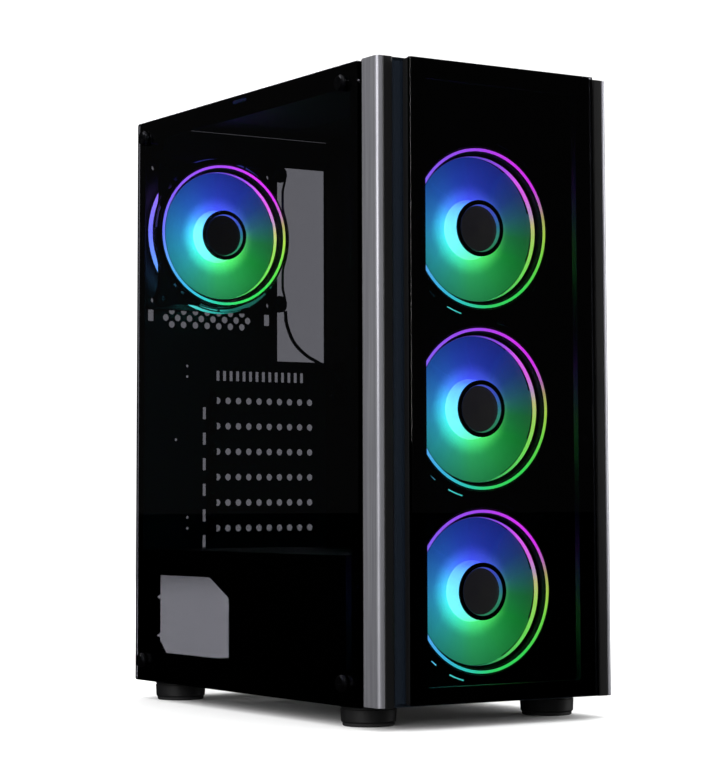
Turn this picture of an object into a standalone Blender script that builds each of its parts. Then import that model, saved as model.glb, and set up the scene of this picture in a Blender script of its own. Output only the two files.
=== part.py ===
"""A desktop computer tower: an empty mid-size case with a glass side and a glass front.

Run with: blender --background --python part.py
Units are metres. X runs to the right seen from the front, Y to the rear, Z up.
The origin is on the floor, under the middle of the whole object.
The side glass is on the left (-X), the front glass faces -Y.
"""
import math

import bmesh
import bpy
from mathutils import Matrix, Vector

# ---- driving sizes -------------------------------------------------------------------
CASE_WIDTH = 0.195          # over the glass side and the steel side
CASE_HEIGHT = 0.435         # the body, without its feet
CHASSIS_DEPTH = 0.3263      # outer face of the rear panel to the front of the front plate
BEZEL_DEPTH = 0.0220        # front plate to the face of the bezel posts
PANE_PROUD = 0.0097         # the front glass stands this far in front of the posts
FOOT_HEIGHT = 0.0137
FOOT_RADIUS = 0.0193
FOOT_TOE_RADIUS = 0.0184
FOOT_SIDE_INSET = 0.0224    # sides of the case to the axes of the feet
FOOT_REAR_INSET = 0.033
FOOT_FRONT_INSET = 0.0257
STEEL = 0.001               # sheet thickness
GAP = 0.0003                # between touching pieces
FIT = 0.0005                # loose fit of panels and covers
SIDE_GLASS_THICKNESS = 0.004
SIDE_GLASS_SHORT = 0.0023   # the side panels end this far behind the front plate
RIGHT_SHEET = 0.001
TOP_FLANGE = 0.0158
FLOOR_FLANGE = 0.015
REAR_FLANGE = 0.009
FRONT_FLANGE = 0.015

SCREW_HEAD_RADIUS = 0.0057
SCREW_HEAD_HEIGHT = 0.0045
SCREW_SHANK_RADIUS = 0.002
POST_RADIUS = 0.0046
POST_LENGTH = 0.0092
POST_BASE = 0.0015
POST_PLATE = 0.009          # how far the post's base plate reaches into the case
POST_REAR_INSET = 0.0145
POST_FRONT_INSET = 0.0184
POST_TOP_INSET = 0.0133
POST_BOTTOM_INSET = 0.0156

FAN_PITCH = 0.105           # screw hole spacing of a 120 mm fan
FAN_DEPTH = 0.025
FAN_BORE = 0.0532
COLLAR_RADIUS = 0.0575
HOUSING_RADIUS = 0.0612
RING_PROUD = 0.0035         # the lit ring stands in front of the fan's flange
FRONT_FAN_DROP = 0.1094     # top of the body down to the axis of the top front fan
FRONT_FAN_PITCH = 0.12525
REAR_FAN_X = -0.0305
REAR_FAN_DROP = 0.0868      # top of the body down to the axis of the rear fan
BLADES = 7
ROUND = 28                  # sides of large circles

IO_WIDTH = 0.0452
IO_HEIGHT = 0.1592
IO_RIGHT_X = 0.0772
IO_BOTTOM_Z = 0.2509
TRAY_X = 0.0785             # the face that the motherboard sits on
SLOT_COUNT = 6
SLOT_PITCH = 0.02032
SLOT_TOP_Z = 0.2178
SLOT_HOLE_X = -0.0233
SLOT_HOLES = 10
SLOT_HOLE_PITCH = 0.00953
SLOT_HOLE_RADIUS = 0.0027
SLOT_COVER_HEIGHT = 0.0178
SHROUD_TOP_Z = 0.1005
SHROUD_SIDE_INSET = 0.0095  # glass side of the case to the shroud
PSU_LEFT_X = -0.0735
PSU_WIDTH = 0.140
PSU_BOTTOM_Z = 0.0135
PSU_HEIGHT = 0.072

FRONT_PANE_WIDTH = 0.1545
FRONT_PANE_THICKNESS = 0.0035
PANE_BOTTOM_INSET, PANE_TOP_INSET = 0.003, 0.0006
CARRIER_WINDOW = 0.127
TRIM_RADIUS = 0.004
TRIM_THICKNESS = 0.0012
TRIM_DEPTH = 0.0185
IO_MODULE_LENGTH = 0.122
IO_MODULE_WIDTH = 0.020

# ---- planes worked out from them ------------------------------------------------------
PANEL_SCREW_HEAD = 0.0062
POST_REACH = CHASSIS_DEPTH + BEZEL_DEPTH
FRONT_GLASS_REACH = POST_REACH + PANE_PROUD
SIDE_GLASS_DEPTH = CHASSIS_DEPTH - SIDE_GLASS_SHORT
FOOT_ACROSS = CASE_WIDTH / 2 - FOOT_SIDE_INSET
SHROUD_SIDE_X = SHROUD_SIDE_INSET - CASE_WIDTH / 2
REAR_FAN_Z = CASE_HEIGHT - REAR_FAN_DROP
CENTRE = SCREW_HEAD_HEIGHT / 2
LEFT = CENTRE - CASE_WIDTH / 2
RIGHT = CENTRE + CASE_WIDTH / 2
REAR_PROUD = FIT + RIGHT_SHEET + PANEL_SCREW_HEAD
REAR = (FRONT_GLASS_REACH - REAR_PROUD) / 2
FRONT = REAR - CHASSIS_DEPTH
BASE = FOOT_HEIGHT
TOP = BASE + CASE_HEIGHT
SHEET_LEFT = LEFT + SIDE_GLASS_THICKNESS + FIT
SHEET_RIGHT = RIGHT - RIGHT_SHEET - FIT
UNDER_TOP = TOP - STEEL - GAP
OVER_FLOOR = BASE + STEEL + GAP
INSIDE_REAR = REAR - STEEL - GAP
INSIDE_FRONT = FRONT + STEEL + GAP
POSTS_FACE = REAR - POST_REACH
PANE_FACE = REAR - FRONT_GLASS_REACH
REAR_RING_PLANE = INSIDE_REAR - FAN_DEPTH
FRONT_RING_PLANE = INSIDE_FRONT - RING_PROUD
TRAY = CENTRE + TRAY_X
BEZEL_LOW = BASE + 0.0015
OVER = 0.01                 # how far a cutter runs past the face that it opens


def at(x, forward, z):
    """A point from the case's own datum: middle, rear face, base of the body."""
    return Vector((CENTRE + x, REAR - forward, BASE + z))


# ---- scene and small tools ---------------------------------------------------------------
for old in list(bpy.data.objects):
    bpy.data.objects.remove(old, do_unlink=True)

parts = bpy.data.collections.new("computer_tower")
cutters = bpy.data.collections.new("cutters")
bpy.context.scene.collection.children.link(parts)
bpy.context.scene.collection.children.link(cutters)

COLOURS = {
    "black_steel": ((0.012, 0.012, 0.014), 0.55, 0.0),
    "black_plastic": ((0.010, 0.010, 0.011), 0.45, 0.0),
    "smoked_glass": ((0.015, 0.016, 0.018), 0.05, 0.0),
    "brushed_trim": ((0.30, 0.30, 0.32), 0.35, 1.0),
    "milky_plastic": ((0.70, 0.75, 0.85), 0.40, 0.0),
    "rotor_plastic": ((0.35, 0.45, 0.60), 0.40, 0.0),
    "rubber": ((0.008, 0.008, 0.008), 0.80, 0.0),
    "black_screw": ((0.030, 0.030, 0.032), 0.30, 1.0),
    "cable_black": ((0.006, 0.006, 0.006), 0.60, 0.0),
}


def material(name):
    found = bpy.data.materials.get(name)
    if found:
        return found
    colour, roughness, metallic = COLOURS[name]
    made = bpy.data.materials.new(name)
    made.use_nodes = True
    shader = made.node_tree.nodes["Principled BSDF"]
    shader.inputs["Base Color"].default_value = (*colour, 1.0)
    shader.inputs["Roughness"].default_value = roughness
    shader.inputs["Metallic"].default_value = metallic
    return made


def add(name, mesh, finish=None, place=(0, 0, 0)):
    """An object in the part's collection, or a hidden cutter when it has no finish."""
    made = bpy.data.objects.new(name, mesh)
    made.location = place
    if finish:
        mesh.materials.append(material(finish))
        parts.objects.link(made)
        mesh.shade_smooth()
        mesh.set_sharp_from_angle(angle=math.radians(35))
    else:
        cutters.objects.link(made)
        made.hide_render = True
        made.display_type = "WIRE"
    return made


def mesh_from(name, work):
    mesh = bpy.data.meshes.new(name)
    work.to_mesh(mesh)
    work.free()
    return mesh


def blocks(name, corners, finish=None, turn=0.0, place=None):
    """Boxes given by their low and high corners; several make one multi-box cutter."""
    low, high = corners[0]
    middle = Vector(place) if place else (Vector(low) + Vector(high)) / 2
    work = bmesh.new()
    for low, high in corners:
        size = Vector(high) - Vector(low)
        centre = (Vector(low) + Vector(high)) / 2 - middle
        spin = Matrix.Rotation(turn, 4, "Z")
        shape = Matrix.Translation(centre) @ spin @ Matrix.Diagonal((*size, 1.0))
        bmesh.ops.create_cube(work, size=1.0, matrix=shape)
    return add(name, mesh_from(name, work), finish, middle)


def block(name, low, high, finish=None):
    return blocks(name, [(low, high)], finish)


TURNS = {"X": Matrix.Rotation(math.pi / 2, 4, "Y"), "Y": Matrix.Rotation(-math.pi / 2, 4, "X"), "Z": Matrix()}


def bars(name, centres, radius, length, axis, sides=12, finish=None, end_radius=None):
    """Round bars about the given centres; end_radius tapers them toward +axis."""
    middle = Vector(centres[0])
    work = bmesh.new()
    for centre in centres:
        shape = Matrix.Translation(Vector(centre) - middle) @ TURNS[axis]
        bmesh.ops.create_cone(work, cap_ends=True, segments=sides, radius1=radius,
                              radius2=radius if end_radius is None else end_radius,
                              depth=length, matrix=shape)
    return add(name, mesh_from(name, work), finish, middle)


def bar(name, centre, radius, length, axis, sides=12, finish=None, end_radius=None):
    return bars(name, [centre], radius, length, axis, sides, finish, end_radius)


def turned(name, profile, place, finish=None, steps=ROUND, closed=True):
    """A profile of (radius, distance along +Y) turned about the Y axis through place."""
    work = bmesh.new()
    corners = [work.verts.new((radius, along, 0.0)) for radius, along in profile]
    pairs = list(zip(corners, corners[1:]))
    if closed:
        pairs.append((corners[-1], corners[0]))
    for first, second in pairs:
        work.edges.new((first, second))
    made = add(name, mesh_from(name, work), finish, place)
    screw = made.modifiers.new("turned", "SCREW")
    screw.axis = "Y"
    screw.angle = math.tau
    screw.steps = steps
    screw.render_steps = steps
    screw.use_merge_vertices = True
    screw.merge_threshold = 0.00001
    screw.use_normal_calculate = True
    screw.use_normal_flip = True
    return made


def boolean(target, tool, operation):
    step = target.modifiers.new(operation.lower(), "BOOLEAN")
    step.operation = operation
    step.solver = "EXACT"
    step.object = tool
    return target


def cut(target, tool):
    return boolean(target, tool, "DIFFERENCE")


def fuse(target, tool):
    return boolean(target, tool, "UNION")


def outline(name, points, axis, low, high, finish=None):
    """A flat outline pushed from low to high along X, Y or Z."""
    curve = bpy.data.curves.new(name, "CURVE")
    curve.dimensions = "2D"
    curve.fill_mode = "BOTH"
    curve.extrude = abs(high - low) / 2
    line = curve.splines.new("POLY")
    line.points.add(len(points) - 1)
    for point, (across, along) in zip(line.points, points):
        point.co = (across, along, 0.0, 1.0)
    line.use_cyclic_u = True
    guide = bpy.data.objects.new(name + "_curve", curve)
    bpy.context.scene.collection.objects.link(guide)
    middle = (low + high) / 2
    frames = {
        "Z": Matrix.Translation((0, 0, middle)),
        "Y": Matrix.Translation((0, middle, 0)) @ Matrix.Rotation(math.pi / 2, 4, "X"),
        "X": Matrix.Translation((middle, 0, 0)) @ Matrix(((0, 0, 1), (1, 0, 0), (0, 1, 0))).to_4x4(),
    }
    guide.matrix_world = frames[axis]
    bpy.context.view_layer.update()
    mesh = bpy.data.meshes.new_from_object(guide.evaluated_get(bpy.context.evaluated_depsgraph_get()))
    mesh.materials.clear()
    work = bmesh.new()
    work.from_mesh(mesh)
    bmesh.ops.transform(work, matrix=guide.matrix_world, verts=work.verts)
    bmesh.ops.remove_doubles(work, verts=work.verts, dist=0.00001)
    bmesh.ops.recalc_face_normals(work, faces=work.faces)
    bpy.data.objects.remove(guide, do_unlink=True)
    bpy.data.meshes.remove(mesh)
    return add(name, mesh_from(name, work), finish)


def arc(centre, radius, start, end, steps):
    """Points of a circular arc in degrees, both ends included."""
    angles = [math.radians(start + (end - start) * i / steps) for i in range(steps + 1)]
    return [(centre[0] + radius * math.cos(a), centre[1] + radius * math.sin(a)) for a in angles]


# ---- chassis sheets -------------------------------------------------------------------------
SCREW_POINTS = [
    ("rear_top", POST_REAR_INSET, CASE_HEIGHT - POST_TOP_INSET),
    ("front_top", SIDE_GLASS_DEPTH - POST_FRONT_INSET, CASE_HEIGHT - POST_TOP_INSET),
    ("rear_bottom", POST_REAR_INSET, POST_BOTTOM_INSET),
    ("front_bottom", SIDE_GLASS_DEPTH - POST_FRONT_INSET, POST_BOTTOM_INSET),
]
POST_CUT = 0.012
post_clearance = bars(
    "post_clearance",
    [Vector((SHEET_LEFT + POST_CUT / 3, REAR - forward, BASE + z)) for _, forward, z in SCREW_POINTS],
    POST_RADIUS + 2 * GAP, POST_CUT, "X", 16)

# Top panel: a roof with a flange down each side and a field of slanted air slots.
VENT_LEFT, VENT_RIGHT = -0.058, 0.020
VENT_REAR, VENT_FRONT = 0.062, 0.230
VENT_SLOT = 0.0048
VENT_PITCH = 0.0145
IO_MODULE_FORWARD = CHASSIS_DEPTH - 0.0273


def top_panel():
    roof = block("top_panel", (SHEET_LEFT, FRONT, TOP - TOP_FLANGE), (SHEET_RIGHT, REAR, TOP), "black_steel")
    cut(roof, block("top_panel_hollow", (SHEET_LEFT + STEEL, FRONT - OVER, TOP - TOP_FLANGE - OVER),
                    (SHEET_RIGHT - STEEL, REAR + OVER, TOP - STEEL)))
    run = VENT_RIGHT - VENT_LEFT
    rows = int((VENT_FRONT - VENT_REAR - run) / VENT_PITCH) + 1
    length = run * math.sqrt(2)
    slots = []
    for row in range(rows):
        middle = at((VENT_LEFT + VENT_RIGHT) / 2, VENT_REAR + run / 2 + row * VENT_PITCH, CASE_HEIGHT)
        half = Vector((length / 2, VENT_SLOT / 2, OVER / 2))
        slots.append((middle - half, middle + half))
    cut(roof, blocks("top_air_slots", slots, turn=math.radians(45)))
    side = IO_MODULE_LENGTH / 2 + GAP
    reach = IO_MODULE_WIDTH / 2 + GAP
    cut(roof, block("io_module_opening", at(-side, IO_MODULE_FORWARD + reach, CASE_HEIGHT - OVER / 2),
                    at(side, IO_MODULE_FORWARD - reach, CASE_HEIGHT + OVER / 2)))
    cut(roof, post_clearance)


# Floor: a tray with a flange up each side and two rows of air slots under the power supply.
FLOOR_SLOTS = 9
FLOOR_SLOT_PITCH = 0.011
FLOOR_SLOT_HALF = 0.0025
FLOOR_SLOT_REACH = 0.022
FLOOR_SLOT_ROWS = (0.060, 0.115)
FILTER_REAR = 0.008         # the filter's rear edge, forward of the rear face
FILTER_LENGTH = 0.150
FILTER_HALF = 0.0530
RAIL_LIP = 0.0025
RAIL_DROP = 0.0042


def floor_panel():
    floor = block("floor_panel", (SHEET_LEFT, FRONT, BASE), (SHEET_RIGHT, REAR, BASE + FLOOR_FLANGE),
                  "black_steel")
    cut(floor, block("floor_hollow", (SHEET_LEFT + STEEL, FRONT - OVER, BASE + STEEL),
                     (SHEET_RIGHT - STEEL, REAR + OVER, BASE + FLOOR_FLANGE + OVER)))
    slots = []
    for row in FLOOR_SLOT_ROWS:
        for column in range(FLOOR_SLOTS):
            x = (column - (FLOOR_SLOTS - 1) / 2) * FLOOR_SLOT_PITCH
            slots.append((at(x - FLOOR_SLOT_HALF, row + FLOOR_SLOT_REACH, -OVER / 2),
                          at(x + FLOOR_SLOT_HALF, row - FLOOR_SLOT_REACH, OVER / 2)))
    cut(floor, blocks("floor_air_slots", slots))
    for name, side in (("left", -1), ("right", 1)):
        near = side * (FILTER_HALF + FIT)
        inner, outer = sorted((near - side * RAIL_LIP, near + side * STEEL))
        stop = FILTER_REAR + FILTER_LENGTH + 0.002
        rail = block(f"filter_rail_{name}", at(inner, stop + 0.002, -RAIL_DROP), at(outer, 0.006, STEEL / 2))
        low, high = sorted((near - side * 2 * RAIL_LIP, near))
        cut(rail, block(f"filter_rail_{name}_groove", at(low, stop, STEEL - RAIL_DROP), at(high, 0, GAP / 2)))
        fuse(floor, rail)
    cut(floor, post_clearance)


def hexagons(name, centre, pitch, radius, reach, depth):
    """Hexagonal holes on a honeycomb grid inside a circle, pierced along Y."""
    centres = []
    rows = int(reach / (pitch * 0.866)) + 1
    for row in range(-rows, rows + 1):
        for column in range(-rows, rows + 1):
            across = (column + (row % 2) / 2) * pitch
            up = row * pitch * math.sqrt(3) / 2
            if math.hypot(across, up) <= reach:
                centres.append(Vector(centre) + Vector((across, 0, up)))
    return bars(name, centres, radius, depth, "Y", 6)


SLOT_WINDOW_WIDTH = (SLOT_HOLES - 1) * SLOT_HOLE_PITCH + 0.008
SLOT_WINDOW_HEIGHT = 0.0135
SLOT_MIDDLE_X = SLOT_HOLE_X + (SLOT_HOLES - 1) * SLOT_HOLE_PITCH / 2
PSU_SCREWS = (0.0333, 0.0632)
PSU_CORNER_ACROSS, PSU_CORNER_UP = 0.009, 0.0155


def psu_outline():
    """The power supply opening with cut corners at the bottom and screw notches at its sides."""
    left, right = PSU_LEFT_X, PSU_LEFT_X + PSU_WIDTH
    low, high = PSU_BOTTOM_Z, PSU_BOTTOM_Z + PSU_HEIGHT
    notch, deep = 0.0018, 0.003
    edge = [(left + PSU_CORNER_ACROSS, low), (right - PSU_CORNER_ACROSS, low), (right, low + PSU_CORNER_UP)]
    for z in PSU_SCREWS:
        edge += [(right, z - notch), (right + deep, z), (right, z + notch)]
    edge += [(right, high), (left, high)]
    for z in reversed(PSU_SCREWS):
        edge += [(left, z + notch), (left - deep, z), (left, z - notch)]
    edge.append((left, low + PSU_CORNER_UP))
    return [(CENTRE + x, BASE + z) for x, z in edge]


GRILLE_PITCH, GRILLE_HOLE, GRILLE_REACH = 0.0150, 0.0076, 0.049
FAN_SCREW_HOLE = 0.0022
PANEL_SCREW_INSET = 0.0085
PANEL_SCREW_HEIGHTS = (0.065, 0.370)
WEB_NOTCH = (-0.0362, -0.0332, 0.0048)     # a notch between two slots: left, right, half its height
RISER_SLOTS = 14
RISER_SLOT_LEFT, RISER_SLOT_PITCH, RISER_SLOT_HALF = -0.0224, 0.006, 0.0014
RISER_SLOT_LOW, RISER_SLOT_HIGH = 0.2338, 0.2418
VENT_HOLE_LEFT, VENT_HOLE_PITCH, VENT_HOLE_RADIUS = -0.0643, 0.01063, 0.0027
VENT_HOLE_TOP = 0.2881
VENT_ROWS = ((7, 0.0), (8, -0.5), (7, 0.0))    # holes in a row, and its shift in holes
LOOP_NOTCHES = ((-0.0855, -0.0805), (0.0200, 0.0250))
LOOP_LOW, LOOP_HIGH = 0.2795, 0.2885
PIN_HOLES = [(-0.0503, 0.2448), (-0.0503, 0.2364), (-0.0602, 0.1862), (-0.0498, 0.125), (-0.0498, 0.1164)]


def flange_ends(name, front, rear):
    """Cuts a panel's side flanges short where the roof's and the floor's flanges lie over them."""
    ends = []
    below = (OVER_FLOOR - OVER, BASE + FLOOR_FLANGE + GAP)
    above = (TOP - TOP_FLANGE - GAP, UNDER_TOP + OVER)
    for x in (SHEET_LEFT, SHEET_RIGHT):
        for bottom, top in (below, above):
            ends.append(((x - STEEL - GAP, front - OVER, bottom), (x + STEEL + GAP, rear + OVER, top)))
    return blocks(name, ends)


def fan_screws(middle):
    """The four screw places of a 120 mm fan about its middle."""
    half = FAN_PITCH / 2
    return [middle + Vector((x, 0, z)) for x in (-half, half) for z in (-half, half)]


def rear_panel():
    low = OVER_FLOOR
    high = UNDER_TOP
    sheet = block("rear_panel", (SHEET_LEFT, REAR - REAR_FLANGE, low), (SHEET_RIGHT, REAR, high),
                  "black_steel")
    cut(sheet, block("rear_hollow", (SHEET_LEFT + STEEL, REAR - REAR_FLANGE - OVER, low - OVER),
                     (SHEET_RIGHT - STEEL, REAR - STEEL, high + OVER)))
    cut(sheet, flange_ends("rear_flange_ends", REAR - REAR_FLANGE, REAR))
    middle = at(REAR_FAN_X, 0, REAR_FAN_Z)
    cut(sheet, hexagons("rear_fan_grille", middle, GRILLE_PITCH, GRILLE_HOLE, GRILLE_REACH, OVER))
    cut(sheet, bars("rear_fan_screw_holes", fan_screws(middle), FAN_SCREW_HOLE, OVER, "Y", 6))
    cut(sheet, block("io_opening", at(IO_RIGHT_X - IO_WIDTH, OVER, IO_BOTTOM_Z),
                     at(IO_RIGHT_X, -OVER, IO_BOTTOM_Z + IO_HEIGHT)))
    windows = []
    for slot in range(SLOT_COUNT):
        z = SLOT_TOP_Z - slot * SLOT_PITCH
        windows.append((at(SLOT_MIDDLE_X - SLOT_WINDOW_WIDTH / 2, OVER, z - SLOT_WINDOW_HEIGHT / 2),
                        at(SLOT_MIDDLE_X + SLOT_WINDOW_WIDTH / 2, -OVER, z + SLOT_WINDOW_HEIGHT / 2)))
        between = z - SLOT_PITCH / 2
        left, right, half = WEB_NOTCH
        windows.append((at(left, OVER, between - half), at(right, -OVER, between + half)))
    for column in range(RISER_SLOTS):
        x = RISER_SLOT_LEFT + column * RISER_SLOT_PITCH
        windows.append((at(x - RISER_SLOT_HALF, OVER, RISER_SLOT_LOW),
                        at(x + RISER_SLOT_HALF, -OVER, RISER_SLOT_HIGH)))
    for left, right in LOOP_NOTCHES:
        windows.append((at(left, OVER, LOOP_LOW), at(right, -OVER, LOOP_HIGH)))
    cut(sheet, blocks("rear_windows", windows))
    holes = []
    for row, (count, shift) in enumerate(VENT_ROWS):
        z = VENT_HOLE_TOP - row * VENT_HOLE_PITCH / 2
        for column in range(count):
            holes.append(at(VENT_HOLE_LEFT + (column + shift) * VENT_HOLE_PITCH, 0, z))
    cut(sheet, bars("rear_vent_holes", holes, VENT_HOLE_RADIUS, OVER, "Y", 6))
    cut(sheet, bars("rear_pin_holes", [at(x, 0, z) for x, z in PIN_HOLES], 0.0012, OVER, "Y", 5))
    cut(sheet, outline("psu_opening", psu_outline(), "Y", REAR - OVER, REAR + OVER))
    screws = [at(CASE_WIDTH / 2 - PANEL_SCREW_INSET, 0, z) for z in PANEL_SCREW_HEIGHTS]
    cut(sheet, bars("panel_screw_holes", screws, SCREW_SHANK_RADIUS + GAP, OVER, "Y", 12))
    cut(sheet, post_clearance)


PSU_FILTER_HEIGHT = 0.0024
RAIL_HOLE_HEIGHTS = (0.08, 0.16, 0.24, 0.33, 0.385, 0.402)


def front_plate():
    low = OVER_FLOOR
    high = UNDER_TOP
    sheet = block("front_plate", (SHEET_LEFT, FRONT, low), (SHEET_RIGHT, FRONT + FRONT_FLANGE, high),
                  "black_steel")
    cut(sheet, block("front_hollow", (SHEET_LEFT + STEEL, FRONT + STEEL, low - OVER),
                     (SHEET_RIGHT - STEEL, FRONT + FRONT_FLANGE + OVER, high + OVER)))
    cut(sheet, flange_ends("front_flange_ends", FRONT, FRONT + FRONT_FLANGE))
    rounds = [Vector((CENTRE, FRONT, z)) for z in front_fan_heights()]
    cut(sheet, bars("front_fan_openings", rounds, COLLAR_RADIUS + FIT, OVER, "Y", ROUND))
    holes = [place for middle in rounds for place in fan_screws(middle)]
    cut(sheet, bars("front_fan_screw_holes", holes, FAN_SCREW_HOLE, OVER, "Y", 6))
    rail = [Vector((SHEET_LEFT, FRONT + FRONT_FLANGE / 2, BASE + z)) for z in RAIL_HOLE_HEIGHTS]
    cut(sheet, bars("front_rail_holes", rail, 0.0014, 0.006, "X", 6))
    cut(sheet, post_clearance)


def front_fan_heights():
    return [TOP - FRONT_FAN_DROP - row * FRONT_FAN_PITCH for row in range(3)]


TRAY_FRONT = 0.288          # the tray ends this far forward of the rear face
BOARD_HOLES = [(forward, z) for forward in (0.018, 0.165, 0.238) for z in (0.400, 0.275, 0.135)]
BOARD_BOSS_RADIUS, BOARD_BOSS_HEIGHT = 0.0032, 0.0060
TRAY_HOLES = [               # rear edge, front edge, low and high of each hole in the tray
    (0.045, 0.150, 0.278, 0.385),
    (0.254, 0.276, 0.300, 0.375),
    (0.254, 0.276, 0.200, 0.275),
    (0.170, 0.230, 0.107, 0.122),
    (0.070, 0.130, 0.107, 0.122),
    (0.040, 0.090, 0.408, 0.424),
    (0.160, 0.200, 0.030, 0.080),
    (0.012, 0.034, 0.214, 0.250),
]
FAN_SOCKET_LOW, FAN_SOCKET_HIGH = (0.0280, 0.1760), (0.0380, 0.1897)    # forward and z of its corners
FAN_SOCKET_DEEP = 0.012


def motherboard_tray():
    tray = block("motherboard_tray", (TRAY, REAR - TRAY_FRONT, OVER_FLOOR),
                 (TRAY + STEEL, INSIDE_REAR, UNDER_TOP), "black_steel")
    length = BOARD_BOSS_HEIGHT + STEEL / 2
    bosses = [Vector((TRAY + STEEL / 2 - length / 2, REAR - forward, BASE + z)) for forward, z in BOARD_HOLES]
    fuse(tray, bars("board_bosses", bosses, BOARD_BOSS_RADIUS, length, "X", 8))
    holes = []
    for rear, front, low, high in TRAY_HOLES:
        holes.append(((TRAY - OVER, REAR - front, BASE + low), (TRAY + OVER, REAR - rear, BASE + high)))
    cut(tray, blocks("tray_cable_holes", holes))
    rear, low = FAN_SOCKET_LOW
    front, high = FAN_SOCKET_HIGH
    fuse(tray, block("rear_fan_socket", (TRAY + STEEL / 2, REAR - front, BASE + low),
                     (TRAY + STEEL + FAN_SOCKET_DEEP, REAR - rear, BASE + high)))
    return tray


WINDOW_LOW, WINDOW_HIGH = 0.022, 0.081
WINDOW_FRONT = 0.135
WINDOW_REAR = 0.010
WINDOW_CORNER_ACROSS, WINDOW_CORNER_DOWN = 0.029, 0.0145
SHROUD_FRONT = CHASSIS_DEPTH - 0.0303


def psu_shroud():
    left = CENTRE + SHROUD_SIDE_X
    shroud = block("psu_shroud", (left, REAR - SHROUD_FRONT, OVER_FLOOR),
                   (TRAY - GAP, INSIDE_REAR, BASE + SHROUD_TOP_Z), "black_steel")
    cut(shroud, block("shroud_hollow", (left + STEEL, REAR - SHROUD_FRONT - OVER, OVER_FLOOR - OVER),
                      (TRAY + OVER, REAR + OVER, BASE + SHROUD_TOP_Z - STEEL)))
    edge = [(WINDOW_REAR, WINDOW_LOW), (WINDOW_REAR, WINDOW_HIGH),
            (WINDOW_FRONT - WINDOW_CORNER_ACROSS, WINDOW_HIGH),
            (WINDOW_FRONT, WINDOW_HIGH - WINDOW_CORNER_DOWN), (WINDOW_FRONT, WINDOW_LOW)]
    edge = [(REAR - forward, BASE + z) for forward, z in edge]
    cut(shroud, outline("shroud_window", edge, "X", left - OVER / 2, left + OVER / 2))
    cut(shroud, blocks("shroud_cable_holes", [(at(0.035, 0.285, 0.09), at(0.065, 0.225, 0.11)),
                                              (at(0.040, 0.120, 0.09), at(0.065, 0.060, 0.11))]))
    cut(shroud, post_clearance)


def slot_cover(number):
    """One steel slot cover with a row of round holes and a tab folded at its screw end."""
    z = SLOT_TOP_Z - number * SLOT_PITCH
    back = REAR - STEEL - GAP
    half = SLOT_WINDOW_WIDTH / 2 + 0.0025
    low = at(SLOT_MIDDLE_X - half, 0, z - SLOT_COVER_HEIGHT / 2)
    high = at(SLOT_MIDDLE_X + half, 0, z + SLOT_COVER_HEIGHT / 2)
    cover = block(f"slot_cover_{number + 1}", (low.x, back - STEEL, low.z), (high.x, back, high.z),
                  "black_steel")
    fuse(cover, block(f"slot_tab_{number + 1}", (low.x, back - 0.009, low.z + 0.002),
                      (low.x + STEEL, back - STEEL / 2, high.z - 0.002)))
    centres = [at(SLOT_HOLE_X + hole * SLOT_HOLE_PITCH, 0, z) for hole in range(SLOT_HOLES)]
    for centre in centres:
        centre.y = back
    cut(cover, bars(f"slot_holes_{number + 1}", centres, SLOT_HOLE_RADIUS, OVER, "Y", 6))


# ---- fans -----------------------------------------------------------------------------------------
FLANGE_HALF = 0.0563
LOBE_RADIUS = 0.0078
REAR_FLANGE_HALF = 0.0598
FLANGE_BACK = 0.008         # behind the plane of the lit ring
HOUSING_BACK = 0.009
MOUNT_RADIUS = 0.0195
STRUT_HALF = 0.003
BLADE_ROOT, BLADE_TIP = 0.0185, 0.0509
BLADE_TWIST = math.radians(-47)
BLADE_SWEEP = math.radians(12)


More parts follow.
